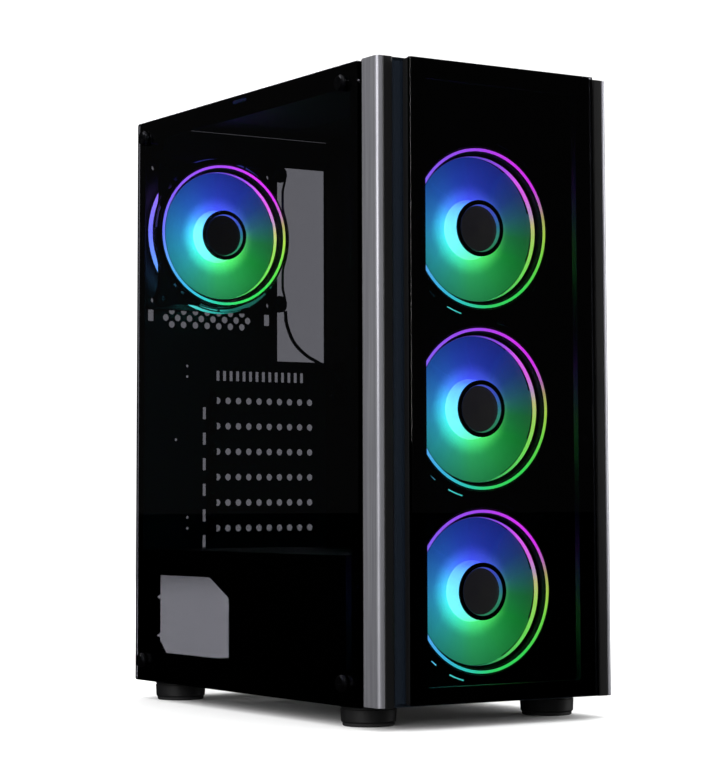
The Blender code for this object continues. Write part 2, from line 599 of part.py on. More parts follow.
def fan(name, x, ring_plane, z):
    """A 120 mm fan: frame, lit rings, and a rotor that turns about its own Y axis."""
    centre = Vector((x, ring_plane, z))

    def along(distance, across=0.0, up=0.0):
        return centre + Vector((across, distance, up))

    tongue = FAN_DEPTH - 0.004      # front of the rear flange
    frame = turned(f"{name}_frame", [
        (FAN_BORE, 0.0029), (0.0567, 0.0029), (0.0567, GAP), (COLLAR_RADIUS, GAP), (COLLAR_RADIUS, FAN_DEPTH),
        (FAN_BORE, FAN_DEPTH)], centre, "black_plastic")
    bore = bar(f"{name}_bore", along(FAN_DEPTH / 2), COLLAR_RADIUS - 0.001, 0.06, "Y", ROUND)
    front = bar(f"{name}_housing", along((RING_PROUD + HOUSING_BACK) / 2), HOUSING_RADIUS,
                HOUSING_BACK - RING_PROUD, "Y", ROUND)
    fuse(front, block(f"{name}_flange", along(RING_PROUD, -FLANGE_HALF, -FLANGE_HALF),
                      along(FLANGE_BACK, FLANGE_HALF, FLANGE_HALF)))
    lobes = fan_screws(along((RING_PROUD + FLANGE_BACK) / 2))
    fuse(front, bars(f"{name}_lobes", lobes, LOBE_RADIUS, FLANGE_BACK - RING_PROUD, "Y", 10))
    back = block(f"{name}_back_flange", along(tongue, -REAR_FLANGE_HALF, -REAR_FLANGE_HALF),
                 along(FAN_DEPTH, REAR_FLANGE_HALF, REAR_FLANGE_HALF))
    for plate in (front, back):
        cut(plate, bore)
        fuse(frame, plate)
    cut(frame, bars(f"{name}_screw_holes", fan_screws(along(FAN_DEPTH / 2)), FAN_SCREW_HOLE, 0.06, "Y", 6))
    mount = bar(f"{name}_mount", along(FAN_DEPTH - 0.0015), MOUNT_RADIUS, 0.003, "Y", 16)
    strut_front, strut_back = FAN_DEPTH - 0.0028, FAN_DEPTH - 0.0002
    reach = FAN_BORE + GAP
    fuse(mount, block(f"{name}_strut", along(strut_front, -reach, -STRUT_HALF),
                      along(strut_back, reach, STRUT_HALF)))
    fuse(mount, block(f"{name}_cross_strut", along(strut_front, -STRUT_HALF, -reach),
                      along(strut_back, STRUT_HALF, reach)))
    fuse(frame, mount)
    for ring, inner, outer, near, far in (("front_ring", 0.0535, 0.0564, 0.0, 0.0026),
                                          ("rear_ring", HOUSING_RADIUS - 0.0022, HOUSING_RADIUS + 0.0010,
                                           HOUSING_BACK + GAP, HOUSING_BACK + 0.0032)):
        turned(f"{name}_{ring}", [(inner, far), (inner, near), (outer, near), (outer, far)], centre,
               "milky_plastic")

    hub = turned(f"{name}_rotor", [
        (0.0, 0.0048), (0.0197, 0.0048), (0.0205, 0.0170), (0.0205, 0.0200), (0.0, 0.0200)],
        centre, "rotor_plastic", 20, closed=False)
    fuse(hub, blade_set(f"{name}_blades", centre))
    tip = turned(f"{name}_tip_ring", [
        (0.0500, 0.0085), (0.0500, 0.0062), (0.0518, 0.0062), (0.0518, 0.0085)], centre)
    fuse(hub, tip)
    turned(f"{name}_hub_cap", [
        (0.0, 0.0035), (0.0157, 0.0035), (0.0172, 0.0003), (0.0195, 0.0003), (0.0197, 0.0045), (0.0, 0.0045)],
        centre, "black_plastic", 20, closed=False)


def blade_set(name, centre):
    """Swept blades from inside the hub to the tip ring, each overlapping the next."""
    work = bmesh.new()
    across, around = 2, 3
    for blade in range(BLADES):
        grid = bmesh.ops.create_grid(work, x_segments=across, y_segments=around, size=0.5)
        for vertex in grid["verts"]:
            out = vertex.co.x + 0.5
            turn = vertex.co.y + 0.5
            radius = BLADE_ROOT + out * (BLADE_TIP - BLADE_ROOT)
            angle = math.tau * blade / BLADES + BLADE_TWIST * turn + BLADE_SWEEP * out
            depth = 0.0135 - 0.0069 * out + turn * (0.0040 - 0.0018 * out)
            vertex.co = (radius * math.cos(angle), depth, radius * math.sin(angle))
    bmesh.ops.recalc_face_normals(work, faces=work.faces)
    blades = add(name, mesh_from(name, work), None, centre)
    thick = blades.modifiers.new("thickness", "SOLIDIFY")
    thick.thickness = 0.0012
    thick.offset = 0.0
    return blades


# ---- outer panels ------------------------------------------------------------------------------------
def side_glass():
    pane = block("side_glass", (LEFT, REAR - SIDE_GLASS_DEPTH, BASE),
                 (LEFT + SIDE_GLASS_THICKNESS, REAR, TOP), "smoked_glass")
    holes = [Vector((LEFT, REAR - forward, BASE + z)) for _, forward, z in SCREW_POINTS]
    cut(pane, bars("side_glass_holes", holes, SCREW_SHANK_RADIUS + 2 * GAP, 0.02, "X", 12))
    for name, forward, z in SCREW_POINTS:
        y = REAR - forward
        height = BASE + z
        head = bar(f"glass_screw_{name}", (LEFT - SCREW_HEAD_HEIGHT / 2 - GAP / 2, y, height),
                   SCREW_HEAD_RADIUS, SCREW_HEAD_HEIGHT - GAP, "X", 16, "black_screw")
        fuse(head, bar(f"glass_shank_{name}", (LEFT + 0.004, y, height), SCREW_SHANK_RADIUS, 0.0100, "X", 12))
        cut(head, block(f"glass_drive_{name}", (LEFT - OVER, y - 0.0030, height - 0.0006),
                        (LEFT - 0.0030, y + 0.0030, height + 0.0006)))
        inner = LEFT + SIDE_GLASS_THICKNESS + GAP
        post = bar(f"glass_post_{name}", (inner + POST_LENGTH / 2, y, height), POST_RADIUS, POST_LENGTH, "X",
                   16, "rubber")
        rear_end = INSIDE_REAR if "rear" in name else y + POST_PLATE
        front_end = y - POST_PLATE if "rear" in name else INSIDE_FRONT
        low = height - POST_PLATE if "top" in name else OVER_FLOOR
        high = UNDER_TOP if "top" in name else height + POST_PLATE
        fuse(post, block(f"glass_post_base_{name}", (inner + POST_LENGTH - 0.0002, front_end, low),
                         (inner + POST_LENGTH + POST_BASE, rear_end, high)))
        cut(post, bar(f"glass_post_bore_{name}", (inner, y, height), SCREW_SHANK_RADIUS + GAP, 0.0150, "X",
                      12))


RIGHT_LIP = 0.0145
RIGHT_LIP_INSET = 0.012


def right_panel():
    sheet = block("right_panel", (RIGHT - RIGHT_SHEET, REAR - SIDE_GLASS_DEPTH, BASE),
                  (RIGHT, REAR + FIT + RIGHT_SHEET, TOP), "black_steel")
    fuse(sheet, block("right_panel_lip", (RIGHT - RIGHT_LIP, REAR + FIT, BASE + RIGHT_LIP_INSET),
                      (RIGHT - RIGHT_SHEET / 2, REAR + FIT + RIGHT_SHEET, TOP - RIGHT_LIP_INSET)))
    places = [at(CASE_WIDTH / 2 - PANEL_SCREW_INSET, 0, z) for z in PANEL_SCREW_HEIGHTS]
    cut(sheet, bars("right_panel_holes", places, SCREW_SHANK_RADIUS + GAP, 0.02, "Y", 12))
    for name, place in zip(("lower", "upper"), places):
        start = REAR + FIT + RIGHT_SHEET + GAP
        head = bar(f"panel_screw_{name}", (place.x, start + (PANEL_SCREW_HEAD - GAP) / 2, place.z), 0.0055,
                   PANEL_SCREW_HEAD - GAP, "Y", 16, "black_screw")
        fuse(head, bar(f"panel_shank_{name}", (place.x, REAR, place.z), SCREW_SHANK_RADIUS, 0.009, "Y", 12))


def feet():
    places = {
        "front_left": (-FOOT_ACROSS, CHASSIS_DEPTH - FOOT_FRONT_INSET),
        "front_right": (FOOT_ACROSS, CHASSIS_DEPTH - FOOT_FRONT_INSET),
        "rear_left": (-FOOT_ACROSS, FOOT_REAR_INSET),
        "rear_right": (FOOT_ACROSS, FOOT_REAR_INSET),
    }
    for name, (x, forward) in places.items():
        height = FOOT_HEIGHT - GAP
        foot = bar(f"foot_{name}", (CENTRE + x, REAR - forward, height / 2), FOOT_TOE_RADIUS, height, "Z", 24,
                   "rubber", FOOT_RADIUS)
        soft = foot.modifiers.new("soft_edges", "BEVEL")
        soft.width = 0.0010
        soft.segments = 1
        soft.limit_method = "ANGLE"
        soft.angle_limit = math.radians(50)


# ---- front cover ------------------------------------------------------------------------------------------
SKIN = 0.0028               # wall of the moulded bezel
POST_WIDTH = 0.0130         # the solid corner posts of the bezel
BEZEL_WINDOW_EXTRA = 0.013  # the bezel's window is this much wider than the carrier's
WINDOW_EDGE = 0.012


def front_cover():
    back = FRONT - GAP
    inset = TRIM_THICKNESS + GAP
    bezel = block("front_bezel", (LEFT + inset, POSTS_FACE, BEZEL_LOW), (RIGHT - inset, back, TOP),
                  "black_plastic")
    cut(bezel, block("bezel_hollow", (LEFT + POST_WIDTH, POSTS_FACE + SKIN, BEZEL_LOW + SKIN),
                     (RIGHT - POST_WIDTH, back + OVER, TOP - SKIN)))
    half = (CARRIER_WINDOW + BEZEL_WINDOW_EXTRA) / 2
    cut(bezel, block("bezel_window", (CENTRE - half, POSTS_FACE - OVER, BASE + WINDOW_EDGE),
                     (CENTRE + half, back, TOP - WINDOW_EDGE)))
    corner = TRIM_RADIUS + 3 * GAP
    seat = POSTS_FACE + TRIM_RADIUS - 2 * GAP
    cut(bezel, blocks("bezel_trim_seats", [
        ((LEFT - OVER, POSTS_FACE - OVER, BEZEL_LOW - OVER), (LEFT + corner, seat, TOP + OVER)),
        ((RIGHT - corner, POSTS_FACE - OVER, BEZEL_LOW - OVER), (RIGHT + OVER, seat, TOP + OVER))]))
    for name, side, face in (("left", -1, LEFT), ("right", 1, RIGHT)):
        inner = TRIM_RADIUS - TRIM_THICKNESS
        centre = (TRIM_RADIUS, TRIM_RADIUS)
        end = TRIM_RADIUS + 2 * GAP
        edge = [(0.0, TRIM_DEPTH)] + arc(centre, TRIM_RADIUS, 180, 270, 8)
        edge += [(end, 0.0), (end, TRIM_THICKNESS)]
        edge += arc(centre, inner, 270, 180, 6) + [(TRIM_THICKNESS, TRIM_DEPTH)]
        edge = [(face - side * across, POSTS_FACE + deep) for across, deep in edge]
        outline(f"side_trim_{name}", edge, "Z", BEZEL_LOW, TOP, "brushed_trim")
    half = FRONT_PANE_WIDTH / 2
    pane_back = PANE_FACE + FRONT_PANE_THICKNESS
    low, high = BASE + PANE_BOTTOM_INSET, TOP - PANE_TOP_INSET
    block("front_glass", (CENTRE - half, PANE_FACE, low), (CENTRE + half, pane_back, high), "smoked_glass")
    carrier = block("front_carrier", (CENTRE - half + GAP, pane_back + GAP, low),
                    (CENTRE + half - GAP, POSTS_FACE - GAP, high), "black_plastic")
    edge = WINDOW_EDGE + 0.002
    cut(carrier, block("carrier_window", (CENTRE - CARRIER_WINDOW / 2, pane_back - OVER, BASE + edge),
                       (CENTRE + CARRIER_WINDOW / 2, POSTS_FACE + OVER, TOP - edge)))


# ---- switches and sockets on the roof ------------------------------------------------------------------
POWER_RADIUS = 0.0068
LIGHT_RADIUS = 0.0038
BUTTON_PROUD = 0.0014
BUTTON_TRAVEL_ROOM = 0.0018
IO_BODY_DEPTH = 0.0135
IO_FACE_PROUD = 0.0008
USB_PLACES = (-0.020, 0.001, 0.022)
USB_WIDTH, USB_HEIGHT, USB_DEPTH = 0.0134, 0.0060, 0.010
AUDIO_PLACES = (0.040, 0.051)
AUDIO_RADIUS = 0.0019
POWER_X, LIGHT_X = -0.048, -0.034


def io_module():
    middle = at(0, IO_MODULE_FORWARD, CASE_HEIGHT)
    half = Vector((IO_MODULE_LENGTH / 2, IO_MODULE_WIDTH / 2, 0))
    low = middle - half - Vector((0, 0, IO_BODY_DEPTH))
    high = middle + half + Vector((0, 0, IO_FACE_PROUD))
    body = block("io_module", low, high, "black_plastic")
    face = high.z
    pockets = []
    for x in USB_PLACES:
        pockets.append(((CENTRE + x - USB_WIDTH / 2, middle.y - USB_HEIGHT / 2, face - USB_DEPTH),
                        (CENTRE + x + USB_WIDTH / 2, middle.y + USB_HEIGHT / 2, face + OVER)))
    cut(body, blocks("usb_sockets", pockets))
    jacks = [(CENTRE + x, middle.y, face) for x in AUDIO_PLACES]
    cut(body, bars("audio_sockets", jacks, AUDIO_RADIUS, 0.018, "Z", 12))
    for name, x, radius in (("power_button", POWER_X, POWER_RADIUS), ("light_button", LIGHT_X, LIGHT_RADIUS)):
        cut(body, bar(f"{name}_bore", (CENTRE + x, middle.y, face), radius + GAP, 0.012, "Z", 24))
        bar(name, (CENTRE + x, middle.y, face + BUTTON_PROUD / 2 - BUTTON_TRAVEL_ROOM), radius,
            BUTTON_PROUD + 2 * BUTTON_TRAVEL_ROOM, "Z", 24, "black_plastic")


# ---- drive cage, filter and cable ----------------------------------------------------------------------
CAGE_REAR, CAGE_FRONT = 0.205, 0.290
CAGE_HALF = 0.056
CAGE_HEIGHT = 0.070
DRIVE_TRAY_HEIGHT = 0.029
TRAY_WALL = 0.003
TRAY_HANDLE = 0.004         # the tray's front stands this far out of the cage


def drive_cage():
    low = Vector((CENTRE - CAGE_HALF, REAR - CAGE_FRONT, OVER_FLOOR))
    high = Vector((CENTRE + CAGE_HALF, REAR - CAGE_REAR, OVER_FLOOR + CAGE_HEIGHT))
    cage = block("drive_cage", low, high, "black_steel")
    cut(cage, block("cage_hollow", low + Vector((STEEL, STEEL, STEEL)),
                    high + Vector((-STEEL, OVER, -STEEL))))
    tray_low = low + Vector((STEEL + FIT, TRAY_HANDLE, STEEL + FIT))
    tray_high = Vector((high.x - STEEL - FIT, high.y + TRAY_HANDLE, low.z + DRIVE_TRAY_HEIGHT))
    tray = block("drive_tray", tray_low, tray_high, "black_plastic")
    cut(tray, block("tray_hollow", tray_low + Vector((TRAY_WALL, -OVER, TRAY_WALL)),
                    tray_high + Vector((-TRAY_WALL, -TRAY_HANDLE, OVER))))


def psu_filter():
    """A thin frame with ribs that carries a mesh under the floor; it slides out to the rear."""
    top = BASE - GAP
    low = at(-FILTER_HALF, FILTER_REAR + FILTER_LENGTH, 0)
    high = at(FILTER_HALF, FILTER_REAR, 0)
    sieve = block("psu_filter", (low.x, low.y, top - PSU_FILTER_HEIGHT), (high.x, high.y, top),
                  "black_plastic")
    rim, rib = 0.005, 0.003
    wide = (2 * FILTER_HALF - 2 * rim - 2 * rib) / 3
    deep = (FILTER_LENGTH - 2 * rim - 3 * rib) / 4
    windows = []
    for column in range(3):
        for row in range(4):
            x = low.x + rim + column * (wide + rib)
            y = low.y + rim + row * (deep + rib)
            windows.append(((x, y, top - OVER), (x + wide, y + deep, top + OVER)))
    cut(sieve, blocks("filter_windows", windows))


# The rear fan's cable, from the fan's frame through a hole in the tray to a socket behind it: x, forward, z.
CABLE_ROUTE = [(REAR_FAN_X + 0.0590, FAN_DEPTH - 0.0045, REAR_FAN_Z - 0.0577),
               (REAR_FAN_X + 0.0605, FAN_DEPTH - 0.0050, REAR_FAN_Z - 0.0682), (0.0370, 0.0190, 0.2660),
               (0.0490, 0.0175, 0.2560), (0.0610, 0.0175, 0.2500), (0.0715, 0.0185, 0.2440),
               (0.0800, 0.0205, 0.2360), (0.0870, 0.0240, 0.2240), (0.0885, 0.0290, 0.2080),
               (0.0885, 0.0330, 0.1900)]
CABLE_RADIUS = 0.0014
CABLE_STEP = 0.006


def smooth_route(points, spacing):
    """Points read off a smooth curve (Catmull-Rom) through the given points, about evenly spaced."""
    chain = [points[0] * 2 - points[1]] + points + [points[-1] * 2 - points[-2]]
    found = []
    for first, second, third, fourth in zip(chain, chain[1:], chain[2:], chain[3:]):
        pieces = max(1, round((third - second).length / spacing))
        for piece in range(pieces):
            t = piece / pieces
            bend = 2 * first - 5 * second + 4 * third - fourth
            twist = 3 * second - first - 3 * third + fourth
            found.append(0.5 * (2 * second + (third - first) * t + bend * t ** 2 + twist * t ** 3))
    found.append(points[-1])
    return found


def rear_fan_cable():
    curve = bpy.data.curves.new("rear_fan_cable", "CURVE")
    curve.dimensions = "3D"
    curve.bevel_depth = CABLE_RADIUS
    curve.bevel_resolution = 2
    curve.use_fill_caps = True
    route = smooth_route([at(*point) for point in CABLE_ROUTE], CABLE_STEP)
    line = curve.splines.new("POLY")
    line.points.add(len(route) - 1)
    for point, place in zip(line.points, route):
        point.co = (*place, 1.0)
    curve.materials.append(material("cable_black"))
    parts.objects.link(bpy.data.objects.new("rear_fan_cable", curve))


# ---- build ------------------------------------------------------------------------------------------------
top_panel()
floor_panel()
rear_panel()
front_plate()
motherboard_tray()
psu_shroud()
for number in range(SLOT_COUNT):
    slot_cover(number)
for label, height in zip(("top", "middle", "bottom"), front_fan_heights()):
    fan(f"front_fan_{label}", CENTRE, FRONT_RING_PLANE, height)
fan("rear_fan", CENTRE + REAR_FAN_X, REAR_RING_PLANE, BASE + REAR_FAN_Z)
side_glass()
right_panel()
feet()
front_cover()
io_module()
drive_cage()
psu_filter()
rear_fan_cable()
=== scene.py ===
# %% [markdown]
# # A desktop computer tower
# This lesson dresses a finished CAD model of an empty computer case. The CAD solids give every size and
# place. Here each piece gets its fine shape and a finish made from nodes: powder-coated steel, smoked
# glass, brushed aluminium, moulded plastic and lit light guides. Nothing is moved or resized.

# %% Load the frame
import math

import bmesh
import bpy
from mathutils import Matrix, Vector


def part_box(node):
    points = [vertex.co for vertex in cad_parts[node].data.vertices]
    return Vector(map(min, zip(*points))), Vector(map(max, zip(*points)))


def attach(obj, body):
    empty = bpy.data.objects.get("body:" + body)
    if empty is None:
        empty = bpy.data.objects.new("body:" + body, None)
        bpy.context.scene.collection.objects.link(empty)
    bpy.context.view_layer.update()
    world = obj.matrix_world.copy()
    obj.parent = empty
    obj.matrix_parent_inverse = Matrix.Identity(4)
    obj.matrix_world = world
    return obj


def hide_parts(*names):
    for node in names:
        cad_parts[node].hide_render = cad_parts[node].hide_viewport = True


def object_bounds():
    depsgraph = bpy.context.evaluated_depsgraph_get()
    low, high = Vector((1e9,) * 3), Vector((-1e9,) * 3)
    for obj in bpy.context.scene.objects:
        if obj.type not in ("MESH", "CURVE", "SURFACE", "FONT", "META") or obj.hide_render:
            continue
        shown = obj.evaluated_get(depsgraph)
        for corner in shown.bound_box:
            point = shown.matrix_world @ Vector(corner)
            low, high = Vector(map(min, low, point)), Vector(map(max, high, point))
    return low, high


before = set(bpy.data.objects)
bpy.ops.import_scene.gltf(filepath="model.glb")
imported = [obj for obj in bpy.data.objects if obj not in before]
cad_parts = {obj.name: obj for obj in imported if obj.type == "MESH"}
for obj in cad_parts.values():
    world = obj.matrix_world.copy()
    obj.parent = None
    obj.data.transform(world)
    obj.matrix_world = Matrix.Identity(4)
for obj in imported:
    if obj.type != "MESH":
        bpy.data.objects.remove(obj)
CAD_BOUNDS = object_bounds()
LOW, HIGH = CAD_BOUNDS
print("nodes:", len(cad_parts), "size in mm:", [round(1000 * s, 1) for s in HIGH - LOW])

# %% [markdown]
# Positions are read from the boxes of the CAD nodes, so the visual pieces land where the solids are. The
# named values below are the few that every later cell uses.

# %% Sizes that every piece shares
MM = 0.001
GLASS_LOW, GLASS_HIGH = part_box("side_glass")
REAR_LOW, REAR_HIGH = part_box("rear_panel")
TOP_LOW, TOP_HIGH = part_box("top_panel")
FLOOR_LOW, FLOOR_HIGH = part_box("floor_panel")
PLATE_LOW, PLATE_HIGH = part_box("front_plate")
BEZEL_LOW, BEZEL_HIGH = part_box("front_bezel")
PANE_LOW, PANE_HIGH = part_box("front_glass")
CENTRE = (PANE_LOW.x + PANE_HIGH.x) / 2
REAR = REAR_HIGH.y
BASE = GLASS_LOW.z
TOP = GLASS_HIGH.z
LEFT = GLASS_LOW.x
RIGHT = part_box("right_panel")[1].x
STEEL = 1.0 * MM
print("middle plane", round(CENTRE, 5), "rear face", round(REAR, 5), "base", round(BASE, 5))


def at(x, forward, z):
    """A point in the case's own datum: from the middle, forward of the rear face, above the base."""
    return Vector((CENTRE + x, REAR - forward, BASE + z))


# %% [markdown]
# ## Camera
# The lens is long and the camera stands low at the front left, about 1.75 m away, tilted slightly up. A
# small shift frames the tower as the picture area is a little taller than wide.

# %% Camera
CAMERA_PLACE = at(-0.9531, 1.6689, 0.1355)
CAMERA_TURN = math.radians(32.76)
CAMERA_TILT = math.radians(4.84)
CAMERA_ROLL = math.radians(-0.19)

lens = bpy.data.cameras.new("camera")
lens.lens = 110.3
lens.shift_x = -0.0151
lens.shift_y = -0.1116
camera = bpy.data.objects.new("camera", lens)
bpy.context.scene.collection.objects.link(camera)
bpy.context.scene.camera = camera
forward = Vector((math.sin(CAMERA_TURN) * math.cos(CAMERA_TILT),
                  math.cos(CAMERA_TURN) * math.cos(CAMERA_TILT), math.sin(CAMERA_TILT)))
level = Vector((math.cos(CAMERA_TURN), -math.sin(CAMERA_TURN), 0))
above = level.cross(forward)
across = math.cos(CAMERA_ROLL) * level + math.sin(CAMERA_ROLL) * above
upward = math.cos(CAMERA_ROLL) * above - math.sin(CAMERA_ROLL) * level
turn = Matrix((across, upward, -forward)).transposed().to_4x4()
camera.matrix_world = Matrix.Translation(CAMERA_PLACE) @ turn
print("camera at", [round(v, 3) for v in CAMERA_PLACE])

# %% [markdown]
# ## Building blocks for materials
# A colour is written as a screen hex value and turned into linear light once, here. One function adds a
# node, sets it and links it.

# %% Colour and node helpers


def linear(code, alpha=1.0):
    """A screen colour such as "#1a2b3c" as linear red, green, blue and alpha."""
    parts = [int(code[i:i + 2], 16) / 255 for i in (1, 3, 5)]
    return tuple(p / 12.92 if p <= 0.04045 else ((p + 0.055) / 1.055) ** 2.4 for p in parts) + (alpha,)


def node(tree, kind, inputs=None, **settings):
    """Adds a node; inputs maps sockets, by name or number, to values or to other nodes' outputs."""
    made = tree.nodes.new(kind)
    for name, value in settings.items():
        setattr(made, name, value)
    for socket, value in (inputs or {}).items():
        if isinstance(value, bpy.types.NodeSocket):
            tree.links.new(value, made.inputs[socket])
        else:
            made.inputs[socket].default_value = value
    return made


def finish_named(name):
    """A new material with an empty tree, its Principled shader and its output."""
    made = bpy.data.materials.new(name)
    made.use_nodes = True
    tree = made.node_tree
    tree.nodes.clear()
    shader = node(tree, "ShaderNodeBsdfPrincipled")
    node(tree, "ShaderNodeOutputMaterial", {"Surface": shader.outputs["BSDF"]})
    return made, tree, shader


def set_inputs(tree, shader, values):
    for socket, value in values.items():
        if isinstance(value, bpy.types.NodeSocket):
            tree.links.new(value, shader.inputs[socket])
        else:
            shader.inputs[socket].default_value = value


def object_space(tree, centre=(0, 0, 0), scale=(1, 1, 1)):
    """Object coordinates in metres, centred on a point and stretched."""
    coords = node(tree, "ShaderNodeTexCoord")
    moved = node(tree, "ShaderNodeMapping", {0: coords.outputs["Object"]}, vector_type="TEXTURE")
    moved.inputs["Location"].default_value = centre
    moved.inputs["Scale"].default_value = [1 / s for s in scale]
    return moved.outputs[0]


def grain(tree, place, size, detail=2.0, rough=0.5):
    """Noise whose blobs are about size metres across."""
    return node(tree, "ShaderNodeTexNoise", {"Vector": place, "Scale": 1 / size, "Detail": detail,
                                             "Roughness": rough}).outputs["Fac"]


def spread(tree, value, low, high):
    """Maps a 0 to 1 value to a range."""
    return node(tree, "ShaderNodeMapRange", {"Value": value, "To Min": low, "To Max": high}).outputs[0]


def blend_colours(tree, factor, first, second):
    mixed = node(tree, "ShaderNodeMix", {0: factor, 6: first, 7: second}, data_type="RGBA")
    return mixed.outputs[2]


def times(tree, first, second):
    return node(tree, "ShaderNodeMath", {0: first, 1: second}, operation="MULTIPLY").outputs[0]


def seen_in_mirror(tree):
    """1 for a ray that has already met a shiny surface or passed through glass, 0 for any other."""
    path = node(tree, "ShaderNodeLightPath")
    return node(tree, "ShaderNodeMath", {0: path.outputs["Glossy Depth"], 1: 0.5},
                operation="GREATER_THAN").outputs[0]


def bumped(tree, height, distance, strength=1.0):
    return node(tree, "ShaderNodeBump",
                {"Height": height, "Distance": distance, "Strength": strength}).outputs[0]


print("helpers ready")

# %% [markdown]
# ## Finishes
# **Powder-coated steel.** The chassis is cold-rolled sheet with a baked black powder. The powder flows out
# into a fine pebbled skin, with grains of about 0.45 mm, so its gloss breaks up. Grain and a slow drift of
# roughness over some centimetres keep large panels alive.

# %% Powder-coated steel


def powder_coat(name="powder_coated_steel", colour="#121214", light="#1b1b1e"):
    made, tree, shader = finish_named(name)
    place = object_space(tree)
    fine = grain(tree, place, 0.45 * MM, 2.0)
    slow = grain(tree, place, 35 * MM, 3.0)
    tone = blend_colours(tree, spread(tree, fine, 0.0, 0.8), linear(colour), linear(light))
    set_inputs(tree, shader, {"Base Color": tone, "Roughness": spread(tree, slow, 0.42, 0.58),
                              "Normal": bumped(tree, fine, 0.05 * MM, 0.5)})
    return made


STEEL_BLACK = powder_coat()
print("made", STEEL_BLACK.name)

# %% [markdown]
# **Smoked tempered glass.** Float glass that is tinted in the melt, cut, ground at its edges and then
# tempered. It lets through about a tenth of the light, so only what is lit behind it shows. The real
# surface is never quite clean, so a faint film raises the roughness a little in broad smears.

# %% Smoked glass


def smoked_glass(name, tint):
    made, tree, shader = finish_named(name)
    place = object_space(tree)
    film = grain(tree, place, 60 * MM, 3.0)
    smear = node(tree, "ShaderNodeMapRange", {"Value": film, "From Min": 0.55, "From Max": 0.8, "To Min": 0.0,
                                              "To Max": 0.012}).outputs[0]
    set_inputs(tree, shader, {"Base Color": linear(tint), "Roughness": smear, "IOR": 1.5,
                              "Transmission Weight": 1.0})
    return made


SIDE_TINT = smoked_glass("smoked_side_glass", "#5c5c62")
FRONT_TINT = smoked_glass("smoked_front_glass", "#5c5c62")
print("made", SIDE_TINT.name, FRONT_TINT.name)

# %% [markdown]
# **Brushed aluminium.** The trim is a thin extrusion, brushed along its length and clear-anodised in a dark
# grey. Brushing leaves parallel hairlines, here 0.3 mm wide and some centimetres long, which spread a
# highlight across the grain. The hairlines are noise squeezed across and stretched along the height.

# %% Brushed aluminium


def brushed_aluminium(name="brushed_aluminium"):
    made, tree, shader = finish_named(name)
    place = object_space(tree, scale=(1.0, 1.0, 0.006))
    hair = grain(tree, place, 0.30 * MM, 3.0, 0.65)
    streak = grain(tree, object_space(tree, scale=(1.0, 1.0, 0.012)), 1.6 * MM, 2.0)
    tone = blend_colours(tree, spread(tree, times(tree, hair, streak), 0.0, 2.2), linear("#84848c"),
                         linear("#b8b8be"))
    set_inputs(tree, shader,
               {"Base Color": tone, "Metallic": 0.78, "Roughness": spread(tree, hair, 0.32, 0.48),
                              "Normal": bumped(tree, hair, 0.03 * MM, 0.35)})
    return made


ALUMINIUM = brushed_aluminium()
print("made", ALUMINIUM.name)

# %% [markdown]
# **Moulded ABS.** The bezel, the carrier and the fans are injection moulded in black ABS. The mould is spark
# eroded, which prints an even matt grain of about 0.3 mm on the skin. Its gloss is soft and its colour is
# never a pure black.

# %% Moulded ABS


def moulded_abs(name, colour, rough=(0.36, 0.48), pebble=0.3 * MM, depth=0.02 * MM):
    made, tree, shader = finish_named(name)
    place = object_space(tree)
    fine = grain(tree, place, pebble, 2.0)
    slow = grain(tree, place, 25 * MM, 2.0)
    dark = linear(colour)
    tone = blend_colours(tree, fine, dark, [1.35 * c for c in dark[:3]] + [1.0])
    set_inputs(tree, shader, {"Base Color": tone, "Roughness": spread(tree, slow, *rough), "IOR": 1.53,
                              "Normal": bumped(tree, fine, depth, 0.6)})
    return made


ABS_BEZEL = moulded_abs("moulded_abs_bezel", "#0c0c0d")
ABS_CHANNEL = moulded_abs("satin_abs_channel", "#11171f", (0.20, 0.30), 0.5 * MM, 0.01 * MM)
ABS_FAN = moulded_abs("moulded_abs_fan", "#0a0a0b", (0.34, 0.44))
ABS_FOOT = moulded_abs("moulded_abs_foot", "#111112", (0.40, 0.55))
ABS_GREY = moulded_abs("moulded_abs_grey", "#1e1e20", (0.45, 0.6))
ABS_BUTTON = moulded_abs("polished_abs_button", "#18181a", (0.14, 0.2), 1.2 * MM, 0.005 * MM)
RUBBER = moulded_abs("soft_rubber", "#161617", (0.7, 0.85), 0.6 * MM, 0.03 * MM)
print("made seven moulded plastics")

# %% [markdown]
# **Black nickel screws.** The thumb screws are turned steel with a thin black nickel plating: dark, warm
# and quite shiny, with faint turning rings.

# %% Plated screws


def plated_screw(name, colour, rough):
    made, tree, shader = finish_named(name)
    place = object_space(tree)
    fine = grain(tree, place, 0.2 * MM, 3.0)
    tone = blend_colours(tree, fine, linear(colour), linear("#6a6a70"))
    set_inputs(tree, shader, {"Base Color": tone, "Metallic": 1.0, "Roughness": spread(tree, fine, *rough),
                              "Normal": bumped(tree, fine, 0.01 * MM, 0.5)})
    return made


BLACK_NICKEL = plated_screw("black_nickel_steel", "#38383c", (0.2, 0.34))
ZINC = plated_screw("zinc_plated_steel", "#a8a8a4", (0.25, 0.4))
print("made", BLACK_NICKEL.name, ZINC.name)

# %% [markdown]
# ## Light guides
# Each fan carries small coloured lamps that feed milky polycarbonate rings, so the colour drifts round the
# ring: violet at the top, magenta, a short yellow, green over the lower right, cyan, then blue up the left
# side. The colour depends only on the angle about the fan's axis, measured clockwise from the top as seen
# from the front, so one function makes every lit finish. Light has to pass the smoked glass, so the
# strength is several times what is seen.

# %% Lit finishes


